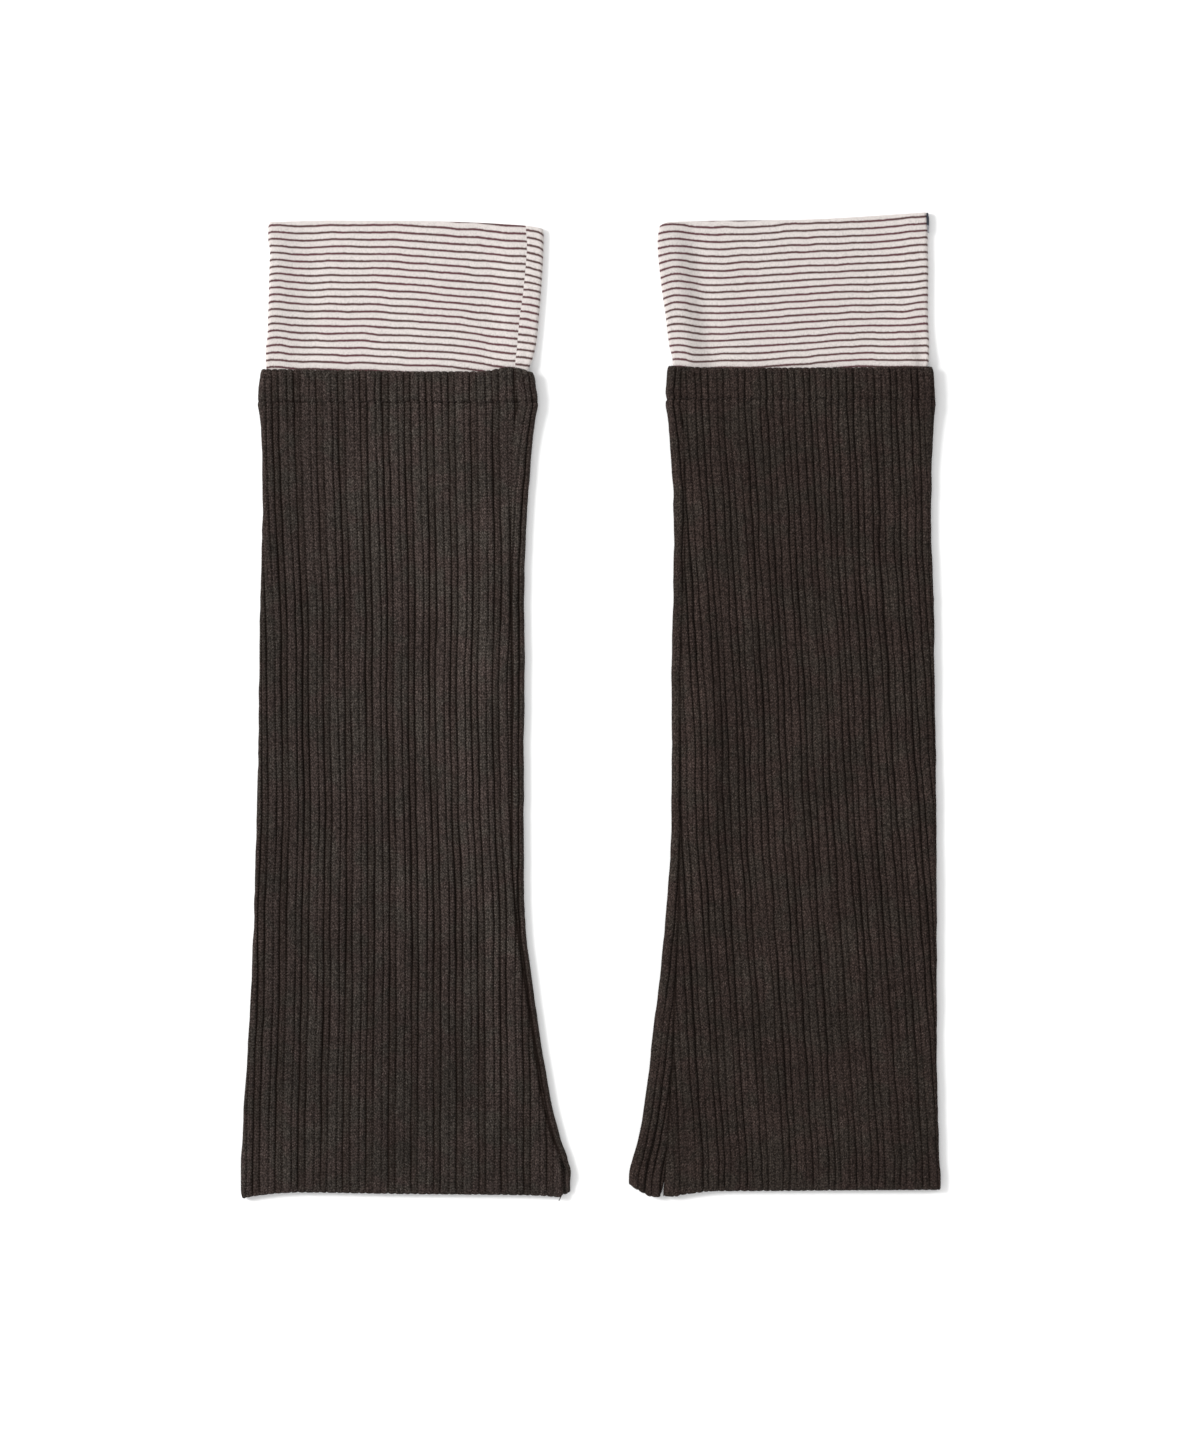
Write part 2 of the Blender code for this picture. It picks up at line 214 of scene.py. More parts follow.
def new_piece(
    name: str,
    points: np.ndarray,
    faces: list[list[int]],
    uv: list[tuple[float, float]] | None = None,
    finish: bpy.types.Material | None = None,
) -> bpy.types.Object:
    """Puts a smooth shaded mesh in the scene.

    Args:
        name: of the piece.
        points: in millimetres, in the frame of the CAD.
        faces: point numbers.
        uv: of each face's corners.
        finish: the material.

    Returns:
        The piece.
    """
    mesh = bpy.data.meshes.new(name)
    mesh.from_pydata((points * MM).tolist(), [], faces)
    if uv:
        mesh.uv_layers.new(name=UV_NAME).data.foreach_set("uv", np.array(uv, np.float32).ravel())
    if finish:
        mesh.materials.append(finish)
    mesh.shade_smooth()
    piece = bpy.data.objects.new(name, mesh)
    bpy.context.scene.collection.objects.link(piece)
    return piece


def add_mark(piece: bpy.types.Object, name: str, values: np.ndarray) -> None:
    """Keeps a number or a direction for each point of a piece, as an attribute."""
    kind, key = ("FLOAT_VECTOR", "vector") if values.ndim == 2 else ("FLOAT", "value")
    mark = piece.data.attributes.new(name, kind, "POINT")
    mark.data.foreach_set(key, values.astype(np.float32).ravel())


@dataclass
class Section:
    """A section across a laid tube: its outer face as a dense line, from the seam's front edge right round."""

    table: np.ndarray  # rows of: across, up from the surface, and the inward direction in both
    under_start: float  # where the lower layer starts, past the outer fold
    under_end: float  # where the lower layer ends, before the inner fold
    fold_line: float  # the outermost line of the inner fold

    ARC_STEPS = 24

    def __post_init__(self) -> None:
        """Measures the run round the section."""
        self.run = run_along(self.table)
        self.length = float(self.run[-1])

    @classmethod
    def laid(
        cls,
        outer: float,
        inner: float,
        seam: float,
        base: float,
        height: float,
        flap: float,
        curl: float,
        rolled: float = 90.0,
    ) -> "Section":
        """Makes a section.

        Args:
            outer: from the centre line to the outer fold.
            inner: from the centre line to the inner fold.
            seam: from the centre line to the seam's front edge.
            base: of the lower layer above the surface.
            height: of the laid tube above its base.
            flap: the straight run of the cloth behind the seam, past the fold.
            curl: the radius of the inner fold.
            rolled: how far that cloth comes up round the inner fold, in degrees from level.

        Returns:
            The section.
        """
        radius, turn, front = height / 2, math.radians(rolled), base + height
        centre = radius - outer
        inner_centre = inner - (curl if rolled > 0 else curl * math.cos(turn) - flap * math.sin(turn))
        points = [(seam, front, 0.0, -1.0), (centre, front, 0.0, -1.0)]
        for share in np.arange(1, cls.ARC_STEPS + 1) / cls.ARC_STEPS:
            c, s = math.cos(math.pi * (0.5 + share)), math.sin(math.pi * (0.5 + share))
            points.append((centre + radius * c, base + radius + radius * s, -c, -s))
        under = len(points) - 1
        for share in np.arange(cls.ARC_STEPS + 1) / cls.ARC_STEPS:
            angle = -math.pi / 2 + (turn + math.pi / 2) * share
            c, s = math.cos(angle), math.sin(angle)
            points.append((inner_centre + curl * c, base + curl + curl * s, -c, -s))
        points.append((points[-1][0] - flap * s, points[-1][1] + flap * c, -c, -s))
        table = np.array(points)
        run = run_along(table)
        return cls(table, run[under], run[under + 1], run[under + 1] + curl * math.pi / 2)

    def read(self, run: np.ndarray) -> list[np.ndarray]:
        """The places across and up, and the inward direction in both, at runs from the seam's front edge."""
        return [np.interp(run, self.run, column) for column in self.table.T]


def run_along(table: np.ndarray) -> np.ndarray:
    """How far along a line of points each of them lies."""
    return np.concatenate([[0.0], np.cumsum(np.hypot(*np.diff(table[:, :2], axis=0).T))])


@dataclass
class Ring:
    """One ring of a shell's mesh, in the leg's own frame."""

    points: np.ndarray  # columns x (across, up, z)
    uv: np.ndarray  # columns x 2
    first: int  # the columns up to here are on the seam's front edge
    last: int  # the columns from here are on the seam's other edge
    sewn: bool
    marks: dict[str, np.ndarray]


@dataclass
class Shell:
    """A closed shell of cloth from rings that go up its outer face, over its rim and down its inner face."""

    name: str
    leg: Leg
    rings: list[Ring]
    slit_pairs: list[tuple[int, int]] = field(default_factory=list)  # outer and inner rings along the slit
    slit_rim: list[int] = field(default_factory=list)  # the rings round the slit's lower end

    def corners(self) -> list[list[tuple[int, int]]]:
        """Lists the faces: a grid round the wall, and the two edges and the lower end of the slit.

        Returns:
            The corners of each face, as (ring, column).
        """
        count, last = len(self.rings), len(self.rings[0].points) - 1
        found = []
        for low in range(count):
            high = (low + 1) % count
            found += [[(low, i), (high, i), (high, i + 1), (low, i + 1)] for i in range(last)]
        for (low, inner_low), (high, inner_high) in zip(self.slit_pairs, self.slit_pairs[1:]):
            found.append([(low, 0), (inner_low, 0), (inner_high, 0), (high, 0)])
            found.append([(low, last), (high, last), (inner_high, last), (inner_low, last)])
        if self.slit_rim:
            found.append([(ring, 0) for ring in self.slit_rim])
            found.append([(ring, last) for ring in reversed(self.slit_rim)])
        return found

    def build(self) -> bpy.types.Object:
        """Makes the mesh.

        Returns:
            The piece, with its UV map and its marks.
        """
        points, numbers, marks = [], [], {name: [] for name in self.rings[0].marks}
        for ring in self.rings:
            keep = slice(ring.first, ring.last + (not ring.sewn))
            own = np.clip(np.arange(len(ring.points)), ring.first, ring.last) - ring.first + len(points)
            if ring.sewn:
                own[ring.last :] = len(points)
            points.extend(ring.points[keep])
            numbers.append(own.tolist())
            for name, values in ring.marks.items():
                marks[name].append(values[keep])
        faces, uv, ring_uv = [], [], [ring.uv.tolist() for ring in self.rings]
        for corners in self.corners():
            kept = {}
            for ring, column in corners:
                kept.setdefault(numbers[ring][column], ring_uv[ring][column])
            if len(kept) > 2:
                turned = list(kept.items())[:: self.leg.side.value]
                faces.append([number for number, _ in turned])
                uv.extend(place for _, place in turned)
        piece = new_piece(self.name, self.leg.place(np.array(points)), faces, uv)
        for name, values in marks.items():
            whole = np.concatenate(values)
            add_mark(piece, name, whole * (self.leg.side.value, 1, 1) if whole.ndim == 2 else whole)
        return piece


def rim_steps(wall: float, count: int) -> list[tuple[float, float, float]]:
    """The rounded rim of a wall.

    Args:
        wall: its thickness.
        count: how many rings the rim has.

    Returns:
        For each ring, how far inside the outer face and past the edge it lies, and the cosine of its turn.
    """
    turns = [math.pi * step / (count + 1) for step in range(1, count + 1)]
    return [(wall / 2 * (1 - math.cos(turn)), wall / 2 * math.sin(turn), math.cos(turn)) for turn in turns]


# Node trees

def arithmetic(operation: str, turned: bool = False) -> Callable[["Value", object], "Value"]:
    """Makes a method that adds a math node.

    Args:
        operation: what the node does.
        turned: whether the value itself comes second.

    Returns:
        The method.
    """

    def work(self: "Value", other: object) -> "Value":
        """Adds the node."""
        pair = (other, self) if turned else (self, other)
        return self.tree.math(operation, *pair)

    return work


class Value:
    """A number or a colour in a node tree; arithmetic on it adds math nodes."""

    def __init__(self, tree: "Tree", socket: bpy.types.NodeSocket) -> None:
        """Takes the tree and the socket."""
        self.tree, self.socket = tree, socket

    __add__, __sub__, __rsub__ = arithmetic("ADD"), arithmetic("SUBTRACT"), arithmetic("SUBTRACT", turned=True)
    __mul__, __pow__ = arithmetic("MULTIPLY"), arithmetic("POWER")
    __truediv__, __rtruediv__ = arithmetic("DIVIDE"), arithmetic("DIVIDE", turned=True)


class Tree:
    """A node tree under construction."""

    def __init__(self, tree: bpy.types.NodeTree) -> None:
        """Takes the tree to build in."""
        self.tree = tree

    def feed(self, socket: bpy.types.NodeSocket, value: object) -> None:
        """Links or sets a socket.

        Args:
            socket: of a node's input.
            value: what it gets; a colour may come without its alpha.
        """
        if isinstance(value, Value):
            self.tree.links.new(value.socket, socket)
        elif socket.type == "RGBA" and len(value) == 3:
            socket.default_value = (*value, 1.0)
        else:
            socket.default_value = value

    def node(self, kind: str, feeds: dict[int | str, object] | None = None, **settings: object) -> list[Value]:
        """Adds a node.

        Args:
            kind: its type name.
            feeds: what its inputs get, by number or name.
            settings: its own properties.

        Returns:
            Its outputs.
        """
        made = self.tree.nodes.new(kind)
        for name, value in settings.items():
            setattr(made, name, value)
        for name, value in (feeds or {}).items():
            self.feed(made.inputs[name], value)
        return [Value(self, output) for output in made.outputs]

    def math(self, operation: str, *values: object, clamp: bool = False) -> Value:
        """A math node.

        Args:
            operation: what it does.
            values: what it works on.
            clamp: whether its result stays from 0 to 1.

        Returns:
            Its result.
        """
        return self.node("ShaderNodeMath", dict(enumerate(values)), operation=operation, use_clamp=clamp)[0]

    def vector(self, x: object = 0.0, y: object = 0.0, z: object = 0.0) -> Value:
        """A vector of three numbers."""
        return self.node("ShaderNodeCombineXYZ", {0: x, 1: y, 2: z})[0]

    def scale(self, vector: Value, factor: Value) -> Value:
        """A vector or colour times a number."""
        return self.node("ShaderNodeVectorMath", {0: vector, "Scale": factor}, operation="SCALE")[0]

    def mix(self, share: object, low: object, high: object, blend: str = "MIX") -> Value:
        """Mixes two colours.

        Args:
            share: of the second colour.
            low: the first colour.
            high: the second colour.
            blend: how they are mixed.

        Returns:
            The mixed colour.
        """
        feeds = {0: share, 6: low, 7: high}
        return self.node("ShaderNodeMix", feeds, data_type="RGBA", blend_type=blend, clamp_factor=True)[2]

    def ramp(self, value: Value, low: float, high: float, start: float = 0.0, end: float = 1.0) -> Value:
        """A smooth step.

        Args:
            value: where it is read.
            low: where it starts.
            high: where it ends.
            start: the number that it starts from.
            end: the number that it ends at.

        Returns:
            The number there.
        """
        feeds = dict(enumerate((value, low, high, start, end)))
        return self.node("ShaderNodeMapRange", feeds, interpolation_type="SMOOTHSTEP")[0]

    def group(self, group: bpy.types.NodeTree, **values: object) -> dict[str, Value]:
        """Places a group.

        Args:
            group: the group's tree.
            values: what its inputs get, with _ for a space in their names.

        Returns:
            Its outputs, by name.
        """
        kind = group.bl_idname.replace("NodeTree", "NodeGroup")
        feeds = {name.replace("_", " "): value for name, value in values.items()}
        return {made.socket.name: made for made in self.node(kind, feeds, node_tree=group)}


GEOMETRY, MATERIAL, VECTOR = "NodeSocketGeometry", "NodeSocketMaterial", "NodeSocketVector"


class Group(Tree):
    """A node group under construction, with named inputs and outputs."""

    def __init__(self, name: str, kind: str, inputs: dict[str, float | str], outputs: str) -> None:
        """Starts the group.

        Args:
            name: of the group.
            kind: Shader or Geometry.
            inputs: each one's default number, or its socket type.
            outputs: the names of the outputs, of one kind.
        """
        super().__init__(bpy.data.node_groups.new(name, f"{kind}NodeTree"))
        face = self.tree.interface
        for label, given in inputs.items():
            of_number = "NodeSocketInt" if isinstance(given, int) else "NodeSocketFloat"
            typed = isinstance(given, str)
            socket = face.new_socket(label, in_out="INPUT", socket_type=given if typed else of_number)
            if not typed:
                socket.default_value = given
        for label in outputs.split():
            whole = GEOMETRY if GEOMETRY in inputs.values() else "NodeSocketFloat"
            face.new_socket(label, in_out="OUTPUT", socket_type=whole)
        self.given = {made.socket.name: made for made in self.node("NodeGroupInput")}

    def give(self, *results: Value) -> bpy.types.NodeTree:
        """Ends the group with its results, in the order of its outputs, and hands it over."""
        self.node("NodeGroupOutput", dict(enumerate(results)))
        return self.tree

    def give_dressed(self, geometry: Value) -> bpy.types.NodeTree:
        """Ends a Geometry Nodes group with real geometry and its material."""
        real = self.node("GeometryNodeRealizeInstances", {"Geometry": geometry})[0]
        feeds = {"Geometry": real, "Material": self.given["Finish"]}
        return self.give(self.node("GeometryNodeSetMaterial", feeds)[0])

    def mark(self, name: str, kind: str = "FLOAT") -> Value:
        """A point attribute of the cloth."""
        return self.node("GeometryNodeInputNamedAttribute", {"Name": name}, data_type=kind)[0]


def apply_tree(
    piece: bpy.types.Object, group: bpy.types.NodeTree, inputs: dict[str, object]
) -> bpy.types.Object:
    """Runs a Geometry Nodes tree on a piece and keeps its result as the piece's plain mesh.

    Args:
        piece: the object that the tree works on.
        group: the tree.
        inputs: values for its named inputs.

    Returns:
        The same object, with its new mesh and no modifier.
    """
    modifier = piece.modifiers.new(group.name, "NODES")
    modifier.node_group = group
    names = {item.name: item.identifier for item in group.interface.items_tree if item.in_out == "INPUT"}
    for name, value in inputs.items():
        modifier[names[name]] = value
    bpy.context.view_layer.update()
    graph = bpy.context.evaluated_depsgraph_get()
    evaluated = piece.evaluated_get(graph)
    made = bpy.data.meshes.new_from_object(evaluated, preserve_all_data_layers=True, depsgraph=graph)
    piece.modifiers.remove(modifier)
    old, piece.data = piece.data, made
    bpy.data.meshes.remove(old)
    made.name = piece.name
    return piece


class KnitTrees:
    """The Geometry Nodes trees: the relief of the rib knit, and stitches of thread."""

    # place in the rib repeat, share of the deep groove's depth, share of its width
    GROOVES = ((0, 1.05, 1.15), (0.285, 0.74, 0.75), (0.705, 0.86, 0.85), (0.43, 0.16, 0.7), (0.56, 0.14, 0.7))
    # place in the rib repeat, share of the crowns' depth, share of their width
    CROWNS = ((0.0, 1.0, 1.0), (0.285, 0.8, 1.0), (0.705, 0.8, 1.0))
    FALL = 1.35  # how steep a groove's shoulders are
    SEED = 3
    THREAD_STEPS, THREAD_SIDES = 4, 5

    def __init__(self) -> None:
        """Builds the trees."""
        self.groove = self.make_groove()
        self.relief = self.make_relief()
        self.stitches = self.make_stitches()

    def make_groove(self) -> bpy.types.NodeTree:
        """One groove along the cloth, with a rounded bottom and soft shoulders.

        Returns:
            A group from a rib place to a depth.
        """
        inputs = {"Rib place": 0.0, "At": 0.0, "Depth": 0.001, "Width": 0.05}
        tree = Group("Groove", "Geometry", inputs, "Depth")
        place, at, depth, width = (tree.given[name] for name in inputs)
        near = tree.math("FRACT", place - at + 0.5) - 0.5
        fall = (tree.math("ABSOLUTE", near) / width) ** self.FALL * -1.0
        return tree.give(tree.math("EXPONENT", fall) * depth)

    def make_relief(self) -> bpy.types.NodeTree:
        """The ribs: grooves pressed into the smooth shell along its rib places, its crease and its seam.

        Returns:
            A group from the smooth cloth to the dressed, ribbed one.
        """
        sizes = {"Groove depth": 0.00115, "Groove width": 0.045, "Crown depth": 0.0003, "Crown width": 0.11}
        inputs = {"Cloth": GEOMETRY, **sizes, "Finish": MATERIAL}
        tree = Group("Rib knit relief", "Geometry", inputs, "Cloth")
        cloth, deepest, groove_width, crown_depth, crown_width, _ = (tree.given[name] for name in inputs)
        place, ribs = tree.mark("rib_place"), None
        sorts = ((self.GROOVES, deepest, groove_width), (self.CROWNS, crown_depth, crown_width))
        for table, depth, width in sorts:
            for at, deep, wide in table:
                sunk = {"Rib_place": place, "At": at, "Depth": depth * deep, "Width": width * wide}
                made = tree.group(self.groove, **sunk)["Depth"]
                ribs = ribs + made if ribs else made
        whole = ribs * tree.mark("relief") + tree.mark("press")
        inward = tree.scale(tree.mark("inward", "FLOAT_VECTOR"), whole)
        pull = tree.scale(tree.mark("edge_pull", "FLOAT_VECTOR"), ribs / deepest)
        offset = tree.node("ShaderNodeVectorMath", {0: inward, 1: pull}, operation="ADD")[0]
        # the relief's depth, kept as groove for the finish, which paints shade into it
        kept = {"Geometry": cloth, "Name": "groove", "Value": whole / deepest}
        marked = tree.node("GeometryNodeStoreNamedAttribute", kept, data_type="FLOAT", domain="POINT")[0]
        moved = tree.node("GeometryNodeSetPosition", {"Geometry": marked, "Offset": offset})[0]
        return tree.give_dressed(moved)

    def make_stitches(self) -> bpy.types.NodeTree:
        """Short stitches of thread, one on each point of the guide, turned by the guide's own mark.

        Returns:
            A group from the guide to the dressed stitches.
        """
        sizes = {"Stitch length": 0.0016, "Thread radius": 0.0002, "Arch": 0.0002, "Unevenness": 0.25}
        inputs = {"Guide": GEOMETRY, **sizes, "Seed": self.SEED, "Finish": MATERIAL}
        tree = Group("Thread stitches", "Geometry", inputs, "Stitches")
        guide, length, radius, arch, uneven, seed, _ = (tree.given[name] for name in inputs)
        half = length * 0.5
        start, middle, end = tree.vector(half * -1.0), tree.vector(z=arch * 2.0), tree.vector(half)
        bent = {"Resolution": self.THREAD_STEPS, "Start": start, "Middle": middle, "End": end}
        arc = tree.node("GeometryNodeCurveQuadraticBezier", bent)[0]
        rounded = {"Resolution": self.THREAD_SIDES, "Radius": radius}
        profile = tree.node("GeometryNodeCurvePrimitiveCircle", rounded, mode="RADIUS")[0]
        swept = {"Curve": arc, "Profile Curve": profile, "Fill Caps": True}
        thread = tree.node("GeometryNodeCurveToMesh", swept)[0]
        chance = {2: 1.0 - uneven, 3: uneven + 1.0, "Seed": seed}
        size = tree.node("FunctionNodeRandomValue", chance, data_type="FLOAT")[1]
        turn = tree.node("FunctionNodeEulerToRotation", {0: tree.mark("turn", "FLOAT_VECTOR")})[0]
        placed = {"Points": guide, "Instance": thread, "Rotation": turn, "Scale": size}
        return tree.give_dressed(tree.node("GeometryNodeInstanceOnPoints", placed)[0])


# Finishes

class YarnGroups:
    """The shader groups that the finishes share: knitted loops, and flecked yarn."""

    def __init__(self) -> None:
        """Builds the groups."""
        self.loops = self.make_loops()
        self.flecks = self.make_flecks()

    def make_loops(self) -> bpy.types.NodeTree:
        """Knitted loops: a column of V shapes on each wale.

        Returns:
            A group from wale and course counts to a height, a mask of the gaps between the loops, and a chance
            value for each tuft of each ply.
        """
        sizes = {"Slant": 0.8, "Unevenness": 0.25, "Plies": 2.0, "Tufts": 1.0, "Stagger": 0.0}
        inputs = {"Wales": 0.0, "Courses": 0.0, **sizes}
        tree = Group("Knitted loops", "Shader", inputs, "Height Gap Yarn")
        wales, courses, slant, unevenness, plies, tufts, stagger = (tree.given[name] for name in inputs)
        soft = {"Vector": tree.vector(wales, courses), "Scale": 0.9, "Detail": 1.0}
        shift = (tree.node("ShaderNodeTexNoise", soft, noise_dimensions="2D")[0] - 0.5) * unevenness
        wale = wales + shift
        off = tree.math("ABSOLUTE", tree.math("FRACT", wale) - 0.5)
        column = tree.math("FLOOR", wale * 2.0)
        step = tree.node("ShaderNodeTexWhiteNoise", {"W": column}, noise_dimensions="1D")[0]
        course = courses + off * slant + shift + step * stagger
        wave = tree.math("COSINE", course * (2 * math.pi)) * 0.5 + 0.5
        edge = off * 2.0
        valley = tree.math("ADD", edge**2.5, (1.0 - edge) ** 6.0 * 0.6, clamp=True)
        tuft = tree.vector(tree.math("FLOOR", wale * plies), tree.math("FLOOR", course * tufts))
        yarn = tree.node("ShaderNodeTexWhiteNoise", {"Vector": tuft}, noise_dimensions="2D")[0]
        # the gaps, which the finishes darken as painted shade between the loops
        gap = tree.math("MAXIMUM", (1.0 - wave) ** 2.0 * 0.7, valley * 0.6)
        return tree.give(wave**0.7 - valley * 0.8, gap, yarn)

    def make_flecks(self) -> bpy.types.NodeTree:
        """Variegated yarn.

        Returns:
            A group from a place in metres to masks: light and dark flecks, wide soft patches and loose fibre.
        """
        inputs = {"Place": VECTOR, "Fleck size": 0.8, "Patch size": 30.0}
        tree = Group("Flecked yarn", "Shader", inputs, "Light Dark Patch Fibre")
        place, fleck, patch = (tree.given[name] for name in inputs)
        noises = []
        # steps in a metre for a size of 1 mm, the size, the detail
        for steps, size, detail in ((1000, fleck, 2), (480, fleck, 3), (1000, patch, 2), (3400, fleck, 3)):
            soft = {"Vector": place, "Scale": float(steps) / size, "Detail": detail, "Roughness": 0.55}
            noises.append(tree.node("ShaderNodeTexNoise", soft, noise_dimensions="3D")[0])
        fine, coarse, wide, fibre = noises
        return tree.give(tree.ramp(fine, 0.5, 0.74), tree.ramp(coarse, 0.5, 0.3), wide, fibre)


class Material(Tree):
    """A material under construction: its tree, its shader and the places that its patterns read."""

    def __init__(self, name: str) -> None:
        """Starts the material."""
        self.made = bpy.data.materials.new(name)
        self.made.use_nodes = True
        super().__init__(self.made.node_tree)
        self.shader = self.tree.nodes["Principled BSDF"]
        self.place = self.node("ShaderNodeTexCoord")[3]  # Object

    def uv(self) -> list[Value]:
        """The two counts of the piece's own UV map."""
        read = self.node("ShaderNodeUVMap", uv_map=UV_NAME)[0]
        return self.node("ShaderNodeSeparateXYZ", {0: read})[:2]

    def mark(self, name: str) -> Value:
        """A point attribute of the piece."""
        return self.node("ShaderNodeAttribute", attribute_name=name)[2]

    def set(self, **values: object) -> None:
        """Sets or links inputs of the shader, with _ for a space in their names."""
        for name, value in values.items():
            self.feed(self.shader.inputs[name.replace("_", " ")], value)

    def bump(self, height: Value, distance: float, strength: float) -> None:
        """Adds a bump to the shader's normal.

        Args:
            height: from 0 to 1.
            distance: how deep it is, in metres.
            strength: how much of it counts.
        """
        feeds = {"Strength": strength, "Distance": distance, "Height": height}
        for link in self.shader.inputs["Normal"].links:
            feeds["Normal"] = Value(self, link.from_socket)
        self.set(Normal=self.node("ShaderNodeBump", feeds)[0])


def shade(colour: Rgb, factor: float) -> Rgb:
    """A colour, lighter or darker by a factor."""
    return tuple(part * factor for part in colour)


@dataclass(frozen=True)
class RibKnitFinish:
    """Matte variegated rib knit, brown-charcoal, with a soft nap."""

    name: str
    colour: Rgb
    pale: Rgb
    # the colour of the painted shade in grooves, gaps and on the sunk rib; lighter, of the dark flecks
    deep: Rgb
    contrast: float = 1.27  # between tufts of yarn
    bright_tufts: float = 0.4
    wales_per_repeat: float = 6.0
    groove_shade_share: float = 0.84  # of the deep colour, painted in the grooves as their shade
    sunk_rib_shade_share: float = 0.2  # of it, painted on the sunk rib as its shade
    sunk_edge: tuple[float, float] = (0.68, 0.76)  # where that rib starts in the repeat
    browner: Rgb = (1.03, 0.985, 0.985)
    greyer: Rgb = (0.95, 1.03, 1.0)
    fleck_size: float = 0.45
    patch_size: float = 34.0
    patch_tones: tuple[float, float] = (0.88, 1.12)
    mottle_size: float = 13.0
    pale_share: float = 0.9
    dark_share: float = 0.15
    # share of the deep colour painted in the gaps between the loops, as their shade
    gap_shade_share: float = 0.45
    groove_edge: tuple[float, float] = (0.3, 0.85)
    sheen_tint: Rgb = (0.42, 0.34, 0.30)
    loop_bump: tuple[float, float] = (0.0004, 0.7)  # depth in metres, strength
    fibre_bump: tuple[float, float] = (0.00022, 0.6)

    def material(self, groups: YarnGroups) -> bpy.types.Material:
        """Builds the material.

        Args:
            groups: the shared shader groups.

        Returns:
            The material.
        """
        made = Material(self.name)
        ribs, courses = made.uv()
        loops = made.group(
            groups.loops,
            Wales=ribs * self.wales_per_repeat,
            Courses=courses,
            Slant=0.5,
            Plies=4.0,
            Tufts=2.0,
            Stagger=0.6,
            Unevenness=0.5,
        )
        flecks, mottle = (
            made.group(groups.flecks, Place=made.place, Fleck_size=self.fleck_size, Patch_size=size)
            for size in (self.patch_size, self.mottle_size)
        )
        yarn = loops["Yarn"]
        twist = yarn * self.contrast + (1.0 - 0.5 * self.contrast) + yarn**5.0 * self.bright_tufts
        # the tone mark carries painted light and shade as well as the yarn's tone
        tone = twist * made.ramp(flecks["Patch"], 0.3, 0.7, *self.patch_tones) * made.mark("tone")
        colour = made.mix(flecks["Light"] * self.pale_share, self.colour, self.pale)
        colour = made.mix(flecks["Dark"] * self.dark_share, colour, shade(self.deep, 1.5))
        dye = made.mix(made.ramp(mottle["Patch"], 0.42, 0.6), self.browner, self.greyer)
        colour = made.mix(1.0, made.scale(colour, tone), dye, blend="MULTIPLY")
        # painted shade in the gaps between the loops
        colour = made.mix(loops["Gap"] * self.gap_shade_share, colour, self.deep)
        # painted shade on the narrow rib before the deep groove
        sunk = made.ramp(made.math("FRACT", ribs), *self.sunk_edge)
        colour = made.mix(sunk * self.sunk_rib_shade_share, colour, shade(self.deep, 1.6))
        # painted shade in the grooves, the seam's furrow and the crease, ragged along the loops
        ragged = (yarn * 0.5 - 0.25) + (loops["Height"] * -0.6 + 0.2) + (flecks["Dark"] * 0.4 - 0.15)
        groove = made.ramp(made.mark("groove") + ragged, *self.groove_edge)
        colour = made.mix(groove * self.groove_shade_share, colour, self.deep)
        made.set(Base_Color=colour, Roughness=0.95, Specular_IOR_Level=0.05)
        made.set(Sheen_Weight=0.06, Sheen_Roughness=0.5, Sheen_Tint=self.sheen_tint)
        made.bump(loops["Height"], *self.loop_bump)
        made.bump(flecks["Fibre"], *self.fibre_bump)
        return made.made


@dataclass(frozen=True)
class JerseyFinish:
    """Fine off-white jersey with narrow maroon-brown stripes."""

    name: str
    ground: Rgb
    stripe: Rgb
    brown: Rgb
    stripe_share: float = 0.29  # of the stripes' repeat
    stripe_blur: float = 0.06
    halo_reach: float = 0.2
    halo_share: float = 0.16
    brown_share: float = 0.6
    # share of the darker stripe colour painted in the gaps between the loops, as their shade
    gap_shade_share: float = 0.16
    wale: float = 0.75
    courses_per_stripe: float = 6.0
    loop_bump: tuple[float, float] = (0.00012, 0.5)  # depth in metres, strength
    stripe_bump: tuple[float, float] = (0.00006, 0.5)

    def material(self, groups: YarnGroups) -> bpy.types.Material:
        """Builds the material.

        Args:
            groups: the shared shader groups.

        Returns:
            The material.
        """
        made = Material(self.name)
        across, stripes = made.uv()
        wales, courses = across * (1.0 / self.wale), stripes * self.courses_per_stripe
        loops = made.group(groups.loops, Wales=wales, Courses=courses, Slant=0.7)
        flecks = made.group(groups.flecks, Place=made.place, Fleck_size=0.6, Patch_size=22.0)
        chance, patch = loops["Yarn"], flecks["Patch"]
        ragged = (flecks["Fibre"] - 0.5) * 0.1 + (chance * 0.07 - 0.035)
        off = made.math("ABSOLUTE", made.math("FRACT", stripes + ragged + 0.5) - 0.5)
        half = self.stripe_share / 2
        line = made.ramp(off, half + self.stripe_blur, half - self.stripe_blur)
        ground = made.mix(made.ramp(patch, 0.3, 0.7), shade(self.ground, 0.97), shade(self.ground, 1.02))
        ground = made.mix(flecks["Dark"] * 0.25, ground, shade(self.ground, 0.86))
        ground = made.mix(chance**2.0, ground, shade(self.ground, 0.79))
        halo = made.ramp(off, half + self.halo_reach, half) * self.halo_share
        ground = made.mix(halo, ground, shade(self.stripe, 1.3))
        yarn = made.mix(flecks["Light"], self.stripe, shade(self.stripe, 1.45))
        yarn = made.mix(made.ramp(patch, 0.42, 0.58) * self.brown_share, yarn, self.brown)
        colour = made.mix(line, ground, yarn)
        # painted shade in the gaps between the loops
        colour = made.mix(loops["Gap"] * self.gap_shade_share, colour, shade(self.stripe, 1.2))
        # the tone mark carries painted shade and light
        colour = made.scale(colour, made.mark("tone"))
        made.set(Base_Color=colour, Roughness=0.9, Specular_IOR_Level=0.2)
        made.set(Sheen_Weight=0.12, Sheen_Roughness=0.5)
        made.bump(loops["Height"], *self.loop_bump)
        made.bump(line, *self.stripe_bump)
        return made.made


